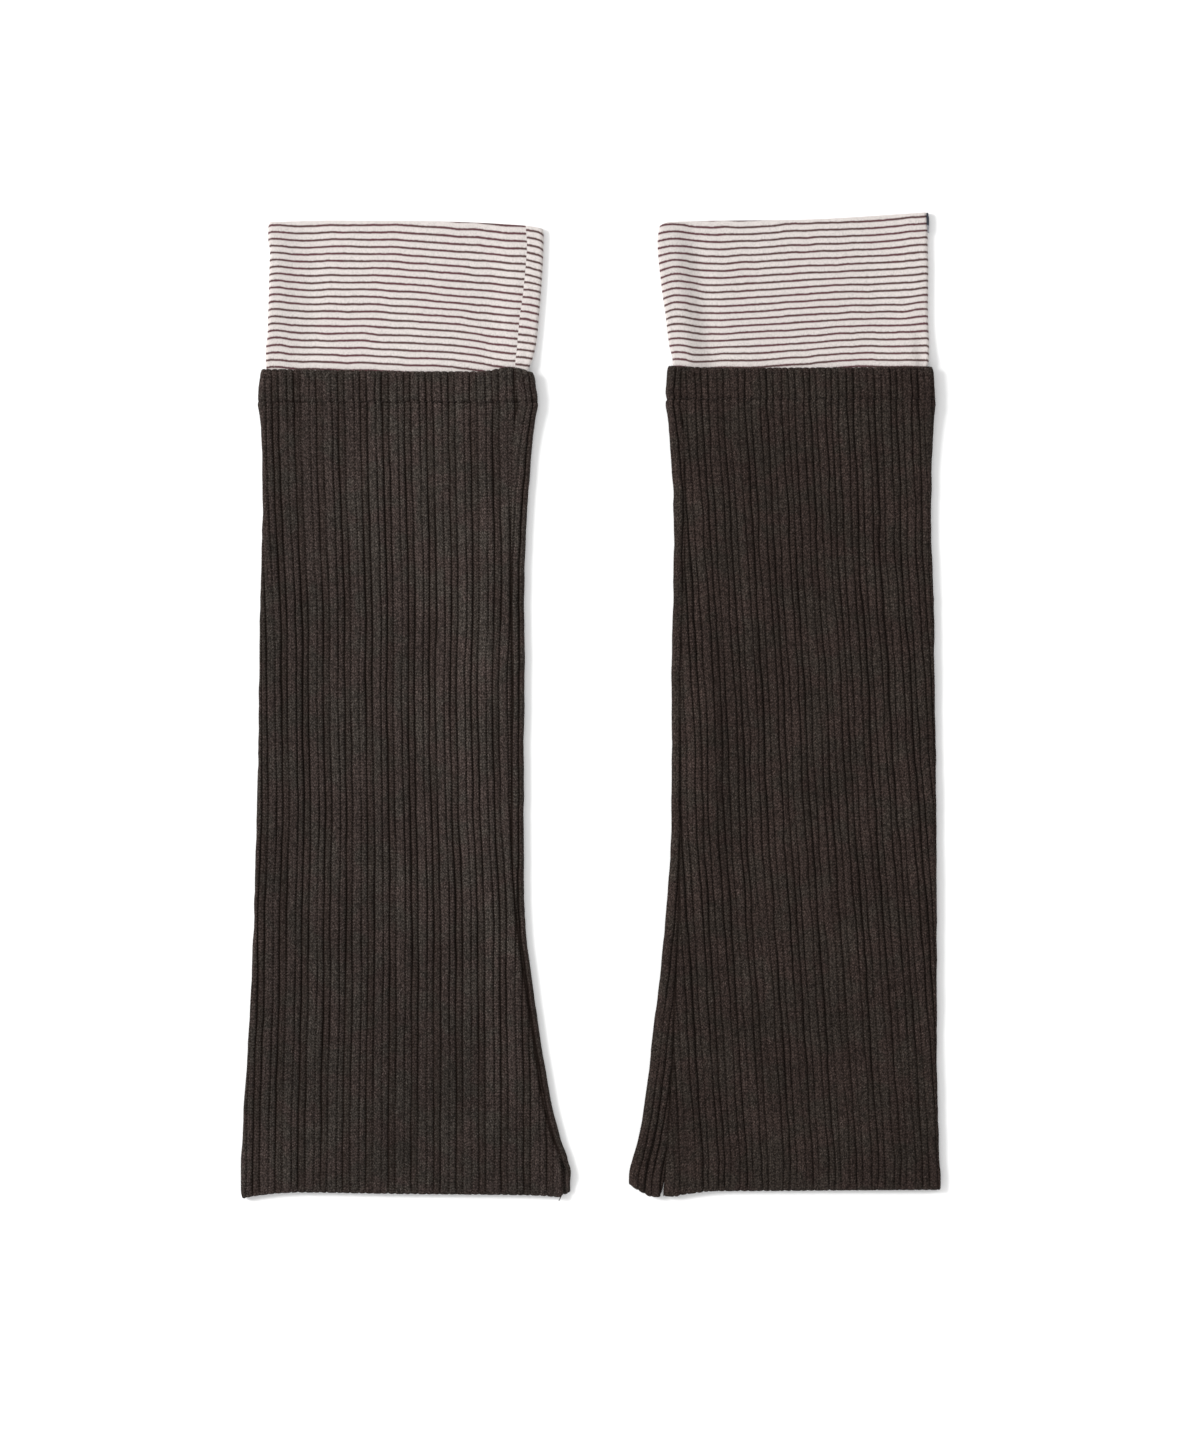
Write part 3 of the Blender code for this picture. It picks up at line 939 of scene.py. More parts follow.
@dataclass(frozen=True)
class TapeFinish:
    """Plain woven tape, paler at its lower end."""

    name: str
    colour: Rgb
    pale: Rgb
    warp: float = 0.3
    weft: float = 0.35
    pale_end: tuple[float, float] = (4.0, 3.4)

    def material(self, groups: YarnGroups) -> bpy.types.Material:
        """Builds the material.

        Args:
            groups: the shared shader groups.

        Returns:
            The material.
        """
        made = Material(self.name)
        across, along = made.uv()
        weft = made.math("SINE", along * (2 * math.pi / self.weft))
        warp = made.math("SINE", across * (2 * math.pi / self.warp))
        weave = weft * warp * 0.5 + 0.5
        flecks = made.group(groups.flecks, Place=made.place, Fleck_size=0.4, Patch_size=5.0)
        colour = made.mix(weave, shade(self.colour, 0.8), shade(self.colour, 1.5))
        colour = made.mix(flecks["Light"] * 0.3, colour, shade(self.colour, 2.2))
        colour = made.mix(made.ramp(along, *self.pale_end), colour, self.pale)
        made.set(Base_Color=colour, Roughness=0.75, Sheen_Weight=0.1, Specular_IOR_Level=0.3)
        made.bump(weave, 0.00008, 0.6)
        return made.made


@dataclass(frozen=True)
class ThreadFinish:
    """Sewing thread."""

    name: str
    colour: Rgb

    def material(self, groups: YarnGroups) -> bpy.types.Material:
        """Builds the material.

        Args:
            groups: the shared shader groups.

        Returns:
            The material.
        """
        made = Material(self.name)
        flecks = made.group(groups.flecks, Place=made.place, Fleck_size=0.3, Patch_size=9.0)
        colour = made.mix(flecks["Light"], self.colour, shade(self.colour, 1.6))
        made.set(Base_Color=colour, Roughness=0.9, Sheen_Weight=0.02, Specular_IOR_Level=0.04)
        made.bump(flecks["Fibre"], 0.00006, 0.6)
        return made.made


# The legs

RIB_WALL = 1.9
CUFF_WALL = 1.3
BODY_HEIGHT = 4.6


@dataclass
class RibTube:
    """A flared tube of rib knit, with its seam, its slit at the hem and its turned and blind-stitched top."""

    leg: Leg
    rows: Table  # up, outer, inner, seam
    height_line: Table
    slit_line: Table  # how far the slit stands open
    hem_line: Table  # of the upper layer
    under_hem_line: Table
    casing_line: Table
    groove_line: Table  # up, where a deep groove of the front lies across
    pitch_line: Table  # up, the rib repeat
    furrow_line: Table  # up, the depth of the seam's furrow
    fold_place: float  # the rib place that lies on the inner fold
    swells: tuple[Swell, ...]
    # painted light and shade, with some soft tone of the yarn, as factors on the knit's colour
    painted_light_and_tones: tuple[Swell, ...]
    slit_top: float
    crease_depth: float
    flat: tuple[float, float]
    cut_area: float
    seed: int
    rolled_line: Table = ((0, 90), (1, 90))  # up, how far the strip behind the slit comes round, in degrees
    slit_flap: float = 0.8
    crease_up: float = 396.5
    row_step: float = 3.0
    casing_jog: float = 0.35
    furrow_half_width: float = 0.62
    crease_width: float = 0.6
    fold_relief_loss: float = 0.65
    edge_wave: float = 0.28
    rib_sway: float = 0.24
    hem_calm: float = 0.22  # how much shallower the ribs are at the hem
    top_calm: float = 0.0  # how much shallower they are at the top
    strip_relief: float = 0.0  # how much deeper they are behind the seam at the hem
    groove_depth: float = 1.15

    # the columns of one rib: shares of its width, on the upper and on the lower layer
    NARROW = (0.0, 0.11, 0.27, 0.5, 0.73, 0.89)
    WIDE = (0.0, 0.08, 0.2, 0.4, 0.6, 0.8, 0.92)
    NARROW_UNDER = (0.0, 0.16, 0.5, 0.84)
    WIDE_UNDER = (0.0, 0.12, 0.35, 0.65, 0.88)
    RIB_EDGES = (0.0, 0.285, 0.705, 1.0)
    REPEATS = range(-9, 25)
    UNDER_FROM = 8.2  # the repeats of the lower layer
    COURSE = 1.5
    RIM_STEPS = 3
    LEAST_GAP = 0.25  # between a column and the seam
    HEM_REACH, CASING_REACH = 30, 12  # how far up and down the hem's and the casing's lines are followed
    HEM_PULL, TOP_PULL = 0.5, 0.45  # how far a groove draws in the hem and the top

    def __post_init__(self) -> None:
        """Makes the tube's lines."""
        self.top_up = float(self.rows[-1][0])
        self.outer, self.inner, self.seam = lines(self.rows)
        tables = (self.height_line, self.slit_line, self.rolled_line, self.hem_line, self.under_hem_line)
        self.height, self.slit, self.rolled, self.hem, self.under_hem = map(Line, tables)
        tables = (self.casing_line, self.groove_line, self.pitch_line, self.furrow_line)
        self.casing, self.reference, self.pitch, self.furrow = map(Line, tables)
        self.sway, self.depth, self.edge = (Unevenness(self.seed + step) for step in range(3))

    def section(self, up: float) -> Section:
        """Reads the tube's lines.

        Args:
            up: along the leg.

        Returns:
            The tube's section there.
        """
        read = (self.outer, self.inner, self.seam, self.height, self.slit, self.rolled)
        outer, inner, seam, height, slit, rolled = (float(line.at(up)) for line in read)
        long, short = up / 9, up / 4
        waves = self.edge.at(np.array([0.5, 7.5, 3.5, 11.5]), np.array([long, long, short, short]))
        outer += self.edge_wave * float(waves[0] + 0.6 * waves[2])
        inner += self.edge_wave * float(waves[1] + 0.6 * waves[3])
        curl = height / 2
        flap = inner - curl - seam - slit
        if rolled < 90:
            curl *= 1 + 0.4 * (1 - math.sin(math.radians(rolled)))
            joined = smooth(up, self.slit_top - 3.0, self.slit_top)
            flap = float(self.slit_flap * (1 - joined) + flap * joined)
        return Section.laid(outer, inner, seam, 0.0, height, flap, curl, rolled)

    def columns(self) -> np.ndarray:
        """Spreads the mesh's columns over the ribs.

        Returns:
            Their rib places, without the two edges of the seam.
        """
        places = []
        for repeat in self.REPEATS:
            under = self.UNDER_FROM < repeat < self.fold_place - 1.2
            narrow, wide = (self.NARROW_UNDER, self.WIDE_UNDER) if under else (self.NARROW, self.WIDE)
            for start, end, shares in zip(self.RIB_EDGES, self.RIB_EDGES[1:], (narrow, wide, narrow)):
                places += [repeat + start + (end - start) * share for share in shares]
        return np.array(places)

    def run_of(self, places: np.ndarray, up: float, section: Section) -> np.ndarray:
        """Where rib places lie round a section.

        Args:
            places: rib places, counted in repeats from the reference groove towards the outer side.
            up: the section's place along the leg.
            section: the section.

        Returns:
            Distances round from the seam's front edge, which may lie past its ends.
        """
        pitch = float(self.pitch.at(up))
        zero = float(self.seam.at(up)) - float(self.reference.at(up))
        start_place = (section.under_start - zero) / pitch
        gap = self.fold_place - start_place
        share = np.clip((places - start_place) / gap, 0, 1)
        under = curve(section.under_start, section.fold_line, pitch * gap, pitch * gap, share)
        run = np.where(places > start_place, under, zero + places * pitch)
        past = section.fold_line + (places - self.fold_place) * pitch
        run = np.where(places > self.fold_place, past, run)
        sway = self.sway.at(places * 3, up / 19) + 0.6 * self.sway.at(places * 3 + 31, up / 8)
        jog = self.casing_jog * smooth(up, self.crease_up - 1, self.crease_up + 1)
        return run + self.rib_sway * sway + jog

    def pressed(self, up: float, rib_place: np.ndarray, beside: np.ndarray) -> np.ndarray:
        """How deep the seam's furrow and the casing's crease are.

        Args:
            up: along the leg.
            rib_place: of each column.
            beside: the distance of each column from the seam.

        Returns:
            The depth at each column.
        """
        furrow = float(self.furrow.at(up)) * np.exp(-((beside / self.furrow_half_width) ** 1.5))
        dashes = 0.3 + 0.7 * smooth(self.sway.at(rib_place * 6 + 7, 3.3), -0.3, 0.3)
        crease_at = self.crease_up + 0.5 * self.depth.at(rib_place * 1.7 + 5, 1.7)
        return furrow + self.crease_depth * np.exp(-(((up - crease_at) / self.crease_width) ** 2)) * dashes

    def relief(self, up: float, rib_place: np.ndarray, beside: np.ndarray, inward: np.ndarray) -> np.ndarray:
        """How deep the ribs' relief is.

        Args:
            up: along the leg.
            rib_place: of each column.
            beside: the distance of each column from the seam.
            inward: the inward direction across, at each column.

        Returns:
            The share of the full depth at each column.
        """
        which = np.round(rib_place * 3.5)
        deep = 1 + 0.22 * self.depth.at(which, up / 21) + 0.24 * self.depth.at(which + 29, up / 70)
        deep *= 0.55 + 0.45 * smooth(up, 0.5, 3.5)
        deep *= 1 - 0.3 * smooth(up, self.top_up - 4, self.top_up - 0.5)
        deep *= 1 - 0.3 * np.exp(-((beside / 0.8) ** 2))
        deep *= 1 - self.fold_relief_loss * inward**2
        strip = smooth(rib_place, self.fold_place - 0.2, self.fold_place + 0.3) * (1 - smooth(up, 30, 80))
        deep *= 1 + self.strip_relief * strip
        return deep * (1 - self.hem_calm * (1 - smooth(up, 5, 130)) - self.top_calm * smooth(up, 290, 380))

    def ring(self, up: float, into: float = 0.0, past: float = 0.0, relief: float = 1.0) -> Ring:
        """One ring of the mesh.

        Args:
            up: along the leg.
            into: how far inside the cloth's outer face.
            past: how far the ring lies up the leg from there.
            relief: the share of the ribs' relief that it takes.

        Returns:
            The ring.
        """
        section, places = self.section(up), self.columns()
        length, pitch = section.length, float(self.pitch.at(up))
        run = self.run_of(places, up, section)
        inside = np.flatnonzero((run > self.LEAST_GAP) & (run < length - self.LEAST_GAP))
        first, last = int(inside[0]), int(inside[-1]) + 2
        run = np.concatenate([[0.0], run, [length]])
        run[: first + 1], run[last:] = 0.0, length
        rib_place = np.concatenate([[0.0], places, [0.0]])
        rib_place[: first + 1] = (float(self.reference.at(up)) - float(self.seam.at(up))) / pitch
        rib_place[last:] = self.fold_place + (length - section.fold_line) / pitch
        across, z, inward_across, inward_up = section.read(run)
        level = np.zeros_like(run)

        upper = smooth(z, 0.0, BODY_HEIGHT)
        hem = self.under_hem.at(across) * (1 - upper) + self.hem.at(across) * upper
        rise = hem * (1 - smooth(up, 0, self.HEM_REACH))
        rise += self.casing.at(across) * smooth(up, self.top_up - self.CASING_REACH, self.top_up)
        lift = total(self.swells, across, up) * smooth(z, 0.35 * BODY_HEIGHT, 0.9 * BODY_HEIGHT)
        points = [across + inward_across * into, up + past + rise, z + inward_up * into + lift]

        beside = np.minimum(run, length - run)
        taken = relief * (into <= 0.9 * RIB_WALL)
        pull = self.HEM_PULL * (1 - smooth(up, 0.8, 4.0))
        pull -= self.TOP_PULL * smooth(up, self.top_up - 4.0, self.top_up - 0.8)
        marks = {
            "rib_place": rib_place,
            "relief": self.relief(up, rib_place, beside, inward_across) * taken,
            "press": self.pressed(up, rib_place, beside) * taken * MM,
            # painted light and shade, with some tone of the yarn
            "tone": 1 + total(self.painted_light_and_tones, across, up),
            "inward": np.stack([inward_across, level, inward_up], axis=1),
            "edge_pull": np.stack([level, level + pull * MM, level], axis=1),
        }
        side_up = up if into < RIB_WALL / 2 else 2 * self.top_up - up
        uv = np.stack([rib_place, level + (side_up + past) / self.COURSE], axis=1)
        return Ring(np.stack(points, axis=1), uv, first, last, up >= self.slit_top, marks)

    def outer_ups(self) -> list[float]:
        """Spreads the outer face's rings along the leg.

        Returns:
            Their places, dense at the slit, the crease and the top.
        """
        low, high = self.slit_top, self.crease_up - 7
        half = np.array([0.4, 0.8, 1.2, 1.8, 2.8, 4.8])
        slit = np.linspace(RIB_WALL / 2, low, 11)
        body = np.linspace(low, high, int((high - low) / self.row_step) + 1)[1:]
        crease = self.crease_up + np.array([*-half[::-1], 0.0, *half])
        top = self.top_up - np.array([4.5, 2.8, 1.9, 1.3, RIB_WALL / 2])
        return [*slit, *body, *crease, self.crease_up + 7, *top]

    def build(self, trees: KnitTrees, finish: bpy.types.Material) -> bpy.types.Object:
        """Builds the tube's cloth.

        Args:
            trees: the Geometry Nodes trees.
            finish: the knit's material.

        Returns:
            The piece.
        """
        ups = self.outer_ups()
        open_ups = [up for up in ups if up <= self.slit_top]
        inner_ups = [*open_ups, *np.linspace(self.slit_top, ups[-1], 17)[1:]]
        rim = rim_steps(RIB_WALL, self.RIM_STEPS)
        rings = [self.ring(up) for up in ups]
        rings += [self.ring(ups[-1], into, past, max(0.0, turn)) for into, past, turn in rim]
        rings += [self.ring(up, RIB_WALL) for up in reversed(inner_ups)]
        inner_end = len(rings) - 1
        rings += [self.ring(ups[0], into, -past, max(0.0, turn)) for into, past, turn in reversed(rim)]
        pairs = [(place, inner_end - place) for place in range(len(open_ups))]
        slit_rim = [0, *range(inner_end, len(rings))]
        piece = Shell(f"{self.leg.word}_rib_cloth", self.leg, rings, pairs, slit_rim).build()
        return apply_tree(piece, trees.relief, {"Groove depth": self.groove_depth * MM, "Finish": finish})


LEFT_TUBE = RibTube(
    leg=Leg(Side.LEFT, -98.0, -245.0),
    rows=(
        (0, 76.2, 87.9, 84), (4, 77, 88, 84), (7.5, 77, 88, 84), (11, 77, 87.9, 83.9),
        (14, 77, 87.5, 83.5), (16.5, 77, 86.6, 83), (19, 76.9, 86.2, 82.4), (27.5, 76.5, 83.2, 79.4),
        (47.5, 75.5, 78, 73.8), (67.5, 74, 74.5, 70.6), (87.5, 73, 71.5, 67.8), (107.5, 72, 68.5, 64.8),
        (127.5, 71, 66, 62), (147.5, 70.5, 64.6, 59.8), (177.5, 69.5, 64.5, 58.2),
        (217.5, 68.5, 64.5, 58.4), (257.5, 68, 65, 58.5), (297.5, 67.5, 64.8, 58), (337.5, 66.5, 66, 58),
        (367.5, 66.5, 68, 58.5), (382.5, 67, 69.5, 59.5), (390.5, 67.8, 70.6, 60),
        (395.5, 68.8, 71.5, 60.5), (399.5, 68.5, 71.2, 60.5), (405, 68, 70.5, 60.5),
        (409.5, 67.4, 69.9, 60.3), (412, 66.4, 68.9, 60.2),
    ),
    height_line=(
        (0, 4.6), (337.5, 4.6), (367.5, 4.9), (382.5, 5.8), (390.5, 6.7), (395.5, 7), (399.5, 7.4),
        (412, 7.4),
    ),
    slit_line=((0, 1), (16.5, 1), (19, 0), (27.5, 0)),
    rolled_line=((0, -55), (4, -38), (7.5, -18), (11, 8), (14, 35), (16.5, 62), (19, 90), (27.5, 90)),
    hem_line=(
        (-76, -1.8), (-72, -1), (-62, 0.4), (-48, 1.2), (0, 0.5), (70, -0.3), (82.5, -1.1), (84.2, -0.1),
    ),
    under_hem_line=(
        (-76, -1.8), (-72, -1), (-62, 0.4), (-48, 1.2), (0, 0.5), (79, -0.2), (86.6, 0.5), (88, 2),
    ),
    casing_line=((-66, 1), (-20, 0.4), (10, -0.2), (42, -0.2), (58, 2), (69, -0.5)),
    groove_line=((17, 8), (137, 8.5), (197, 7.5), (258, 6.5), (288, 7), (318, 6.5), (378, 5), (412, 4.7)),
    pitch_line=(
        (0, 11.3), (47, 11.25), (108, 11), (137, 11), (168, 10.75), (198, 10.55), (258, 10.55),
        (318, 10.85), (378, 11), (412, 11),
    ),
    furrow_line=(
        (0, 0.3), (15, 0.7), (30, 1.3), (150, 1.35), (290, 1.2), (330, 0.75), (395, 0.55), (412, 0.4),
    ),
    fold_place=19.615,
    swells=(
        Swell(-30, 250, 16, 90, 0.35, 0.02), Swell(14, 180, 14, 120, -0.35, -0.02),
        Swell(44, 90, 12, 60, 0.3, 0.1), Swell(-52, 110, 14, 80, -0.3), Swell(30, 330, 18, 50, 0.3),
    ),
    painted_light_and_tones=(
        Swell(40, 340, 46, 190, 0.26), Swell(-66, 250, 26, 220, -0.06), Swell(-12, 348, 15, 42, 0.16),
        Swell(-52, 360, 14, 44, -0.13), Swell(44, 368, 17, 20, -0.26), Swell(39, 215, 7, 75, 0.18),
        Swell(52, 95, 9, 60, 0.3), Swell(52, 310, 7, 80, -0.12), Swell(22, 85, 14, 50, -0.1),
        Swell(8, 290, 8, 40, -0.1), Swell(8, 118, 9, 15, -0.1), Swell(38, 318, 7, 18, 0.1),
        Swell(38, 167, 7, 18, 0.1), Swell(-54, 200, 9, 80, -0.08), Swell(10, 40, 90, 50, -0.13),
        Swell(88, 6, 2.6, 16, 0.35),
    ),
    top_calm=0.16,
    slit_top=19.0,
    crease_depth=0.62,
    flat=(0.335, 0.412),
    cut_area=0.122,
    seed=11,
)

RIGHT_TUBE = RibTube(
    leg=Leg(Side.RIGHT, 107.0, -243.5),
    rows=(
        (0, 68, 88, 70.9), (4, 68, 88, 70.7), (7, 68, 87.9, 70.4), (14, 67.5, 86.5, 69.8),
        (26, 67, 83.5, 68.6), (46, 66.5, 80, 67.6), (66, 66, 77.5, 66.4), (86, 66, 75.2, 65.5),
        (106, 65.8, 72.8, 64.6), (126, 66, 70.8, 63.6), (146, 66, 69, 63), (176, 66, 67.2, 62.5),
        (216, 65.5, 66.6, 62.4), (256, 65, 66.8, 62.2), (296, 64.4, 66, 61), (336, 63.2, 65.6, 60),
        (366, 63.5, 67, 60.2), (381, 64.2, 68.2, 60.5), (389, 65, 69.2, 60.8), (394, 65.4, 69.8, 61),
        (397, 65.2, 69.4, 61), (400, 65, 69.9, 61), (406, 64.7, 69.6, 61.2), (409.5, 64.4, 69.2, 61.3),
        (412.5, 63.4, 68.3, 61.4),
    ),
    height_line=(
        (0, 4.6), (336, 4.6), (366, 4.9), (381, 5.8), (389, 6.7), (394, 7), (397, 7), (400, 7.4),
        (412.5, 7.4),
    ),
    slit_line=((0, 1.7), (4, 0.5), (7, 0.25), (14, 0), (26, 0)),
    hem_line=(
        (-68, 1), (42.5, 0.5), (55.6, -0.7), (60, -1.3), (65.6, -2.4), (70.6, -2.1), (73.4, -2.6),
        (77.5, -2.3), (81.2, -0.5), (88, 3.5),
    ),
    under_hem_line=((-68, 1), (45, 0.2), (56, 2.2), (65, 4.6), (76, 4.6), (88, 3.5)),
    casing_line=((-64, 0.2), (0, -0.3), (40, -0.4), (68, 0.6)),
    groove_line=(
        (16, -14.9), (76, -10.9), (136, -6.75), (196, -2.5), (256, 0.25), (316, 4.25), (346, 5.6),
        (376, 7.4), (412, 9),
    ),
    pitch_line=(
        (16, 11), (76, 10.98), (136, 10.9), (196, 10.8), (226, 10.6), (256, 10.6), (316, 10.53),
        (346, 10.7), (376, 10.78), (412, 10.8),
    ),
    furrow_line=((0, 0.8), (60, 1.3), (130, 1.2), (200, 0.9), (300, 0.75), (395, 0.5), (412, 0.4)),
    fold_place=19.15,
    swells=(
        Swell(-24, 260, 16, 100, 0.35, -0.03), Swell(22, 150, 14, 110, -0.35, -0.04),
        Swell(-46, 80, 14, 70, 0.3), Swell(38, 330, 14, 60, -0.3),
    ),
    painted_light_and_tones=(
        Swell(43, 260, 6, 200, -0.07), Swell(55, 367, 7, 14, -0.14), Swell(55, 245, 6, 100, 0.2),
        Swell(41, 205, 5, 60, -0.17), Swell(-47, 255, 8, 120, 0.14), Swell(-28, 320, 7, 70, 0.08),
        Swell(0, 40, 90, 45, -0.09),
    ),
    slit_top=14.0,
    strip_relief=0.7,
    rib_sway=0.4,
    crease_depth=0.46,
    flat=(0.33, 0.4125),
    cut_area=0.12,
    seed=23,
)


@dataclass
class StripedCuff:
    """A doubled tube of striped jersey, with its fold at the top and its lower end inside the rib tube."""

    tube: RibTube
    rows: Table  # up, outer, inner, seam
    top_line: Table
    stripes: Table  # across, then how far up the first, the eleventh and the twenty-first stripe lie
    strip_stripes: Table  # the same for the strip behind the seam
    swells: tuple[Swell, ...]
    # painted shade and light beside the cuff's troughs and edges, as factors on the jersey's colour
    painted_light_and_tones: tuple[Swell, ...]
    seed: int
    flat: tuple[float, float]
    seam_depth: float = 0.4
    base_line: Table = ((399, 2.2), (414.8, 2.2), (418, 1.4), (422.5, 0.6), (430, 0), (440, 0))
    height_line: Table = ((399, 3.0), (414.8, 3.0), (418, 3.2), (422.5, 3.3), (430, 3.6), (440, 3.6))
    row_step: float = 1.6

    FRONT_COLUMNS, FOLD_COLUMNS, UNDER_COLUMNS, REST_COLUMNS = 98, 10, 42, 16
    FOLD_RUN = math.pi * 1.8
    INNER_ROWS = 24
    RIM_STEPS = 4
    STRIPES_APART = 10  # between the stripes of the tables
    MIDDLE = (440, 458)  # where the upper stripes' spacing gives way to the lower ones'
    ASIDE = 200.0  # past both folds
    WIDE_SWAY, FINE_SWAY = 0.085, 0.03  # of the stripes, in stripes
    FURROW_HALF_WIDTH = 0.7  # of the seam

    def __post_init__(self) -> None:
        """Makes the cuff's lines."""
        self.leg, self.casing, self.casing_up = self.tube.leg, self.tube.casing, self.tube.top_up
        self.low_up, self.top_up = float(self.rows[0][0]), float(self.rows[-1][0])
        self.outer, self.inner, self.seam = lines(self.rows)
        self.base, self.height, self.top = map(Line, (self.base_line, self.height_line, self.top_line))
        self.sway = Unevenness(self.seed)
        self.front_stripes, self.side_stripes = lines(self.stripes), lines(self.strip_stripes)

    def section(self, up: float) -> Section:
        """Reads the cuff's lines.

        Args:
            up: along the leg.

        Returns:
            The cuff's section there.
        """
        outer, inner, seam, base, height = (
            float(line.at(up)) for line in (self.outer, self.inner, self.seam, self.base, self.height)
        )
        return Section.laid(outer, inner, seam, base, height, inner - height / 2 - seam, height / 2)

    def columns(self, section: Section) -> np.ndarray:
        """Spreads the mesh's columns round a section; each section has the same number of them.

        Args:
            section: the section.

        Returns:
            Their runs from the front edge of the seam.
        """
        ends = (0, section.under_start - self.FOLD_RUN, section.under_start, section.under_end, section.length)
        counts = (self.FRONT_COLUMNS, self.FOLD_COLUMNS, self.UNDER_COLUMNS, self.REST_COLUMNS)
        parts = [np.linspace(*pair, count + 1)[1:] for *pair, count in zip(ends, ends[1:], counts)]
        return np.concatenate([[0.0], *parts])

    def stripe_count(self, stripes: list[Line], across: Numbers, up: np.ndarray) -> np.ndarray:
        """How many stripes a place lies down from the first one.

        Args:
            stripes: the lines of the first, the eleventh and the twenty-first stripe.
            across: of the places.
            up: of the places.

        Returns:
            The count at each place.
        """
        first, middle, last = (line.at(across) for line in stripes)
        above = self.STRIPES_APART * (first - up) / (first - middle)
        below = self.STRIPES_APART * (1 + (middle - up) / (middle - last))
        blend = smooth(up, *self.MIDDLE)
        return above * blend + below * (1 - blend)

    def stripe_places(
        self, run: np.ndarray, across: np.ndarray, up: np.ndarray, section: Section
    ) -> np.ndarray:
        """The stripe count all round a section, without a step at the folds.

        Args:
            run: of the columns.
            across: of the columns.
            up: of the columns.
            section: the section.

        Returns:
            The count at each column.
        """
        start, end = section.under_start, section.under_end
        half_fold = (section.run[Section.ARC_STEPS + 1] - section.run[1]) / 2  # half the way round the fold
        share = np.clip((run - start) / (end - start), 0, 1)
        outer = self.stripe_count(self.front_stripes, -self.ASIDE, up)
        under = outer * (1 - share) + self.stripe_count(self.side_stripes, self.ASIDE, up) * share
        turned = smooth(run, start - half_fold, start)
        count = self.stripe_count(self.front_stripes, across, up) * (1 - turned) + under * turned
        turned = smooth(run, end, end + half_fold)
        strip = under * (1 - turned) + self.stripe_count(self.side_stripes, across, up) * turned
        count = np.where(run > end, strip, count)
        wide, fine = self.sway.at(across / 8, up.mean() / 11), self.sway.at(across / 2.6, up.mean() / 5)
        return count + self.WIDE_SWAY * wide + self.FINE_SWAY * fine

    def ring(self, up: float, into: float = 0.0, past: float = 0.0) -> Ring:
        """One ring of the mesh.

        Args:
            up: along the leg.
            into: how far inside the cloth's outer face.
            past: how far the ring lies up the leg from there.

        Returns:
            The ring.
        """
        section = self.section(up)
        run = self.columns(section)
        across, z, inward_across, inward_up = section.read(run)
        rise = self.casing.at(across) * smooth(up, self.casing_up - RibTube.CASING_REACH, self.casing_up)
        rise *= 1 - smooth(up, self.casing_up, self.casing_up + 10)
        rise += self.top.at(across) * smooth(up, self.casing_up, self.top_up)
        base, height = float(self.base.at(up)), float(self.height.at(up))
        lift = total(self.swells, across, up) * smooth(z, base + height / 2, base + height)
        beside = np.minimum(run, section.length - run)
        furrow = self.seam_depth * np.exp(-((beside / self.FURROW_HALF_WIDTH) ** 2))
        depth = into + furrow * max(0.0, 1 - into / CUFF_WALL)
        points = [across + inward_across * depth, up + past + rise, z + inward_up * depth + lift]
        uv = np.stack([run, self.stripe_places(run, across, points[1], section)], axis=1)
        # painted shade and light on the jersey
        light = 1 + total(self.painted_light_and_tones, across, points[1])
        return Ring(np.stack(points, axis=1), uv, 0, len(run) - 1, True, {"tone": light})

    def build(self, finish: bpy.types.Material) -> bpy.types.Object:
        """Builds the cuff's cloth.

        Args:
            finish: the jersey's material.

        Returns:
            The piece.
        """
        count = int((self.top_up - self.low_up) / self.row_step)
        ups = np.linspace(self.low_up + CUFF_WALL / 2, self.top_up - CUFF_WALL / 2, count)
        rim = rim_steps(CUFF_WALL, self.RIM_STEPS)
        rings = [self.ring(up) for up in ups]
        rings += [self.ring(ups[-1], into, past) for into, past, _ in rim]
        rings += [self.ring(up, CUFF_WALL) for up in np.linspace(ups[-1], ups[0], self.INNER_ROWS)]
        rings += [self.ring(ups[0], into, -past) for into, past, _ in reversed(rim)]
        piece = Shell(f"{self.leg.word}_striped_cloth", self.leg, rings).build()
        piece.data.materials.append(finish)
        return piece


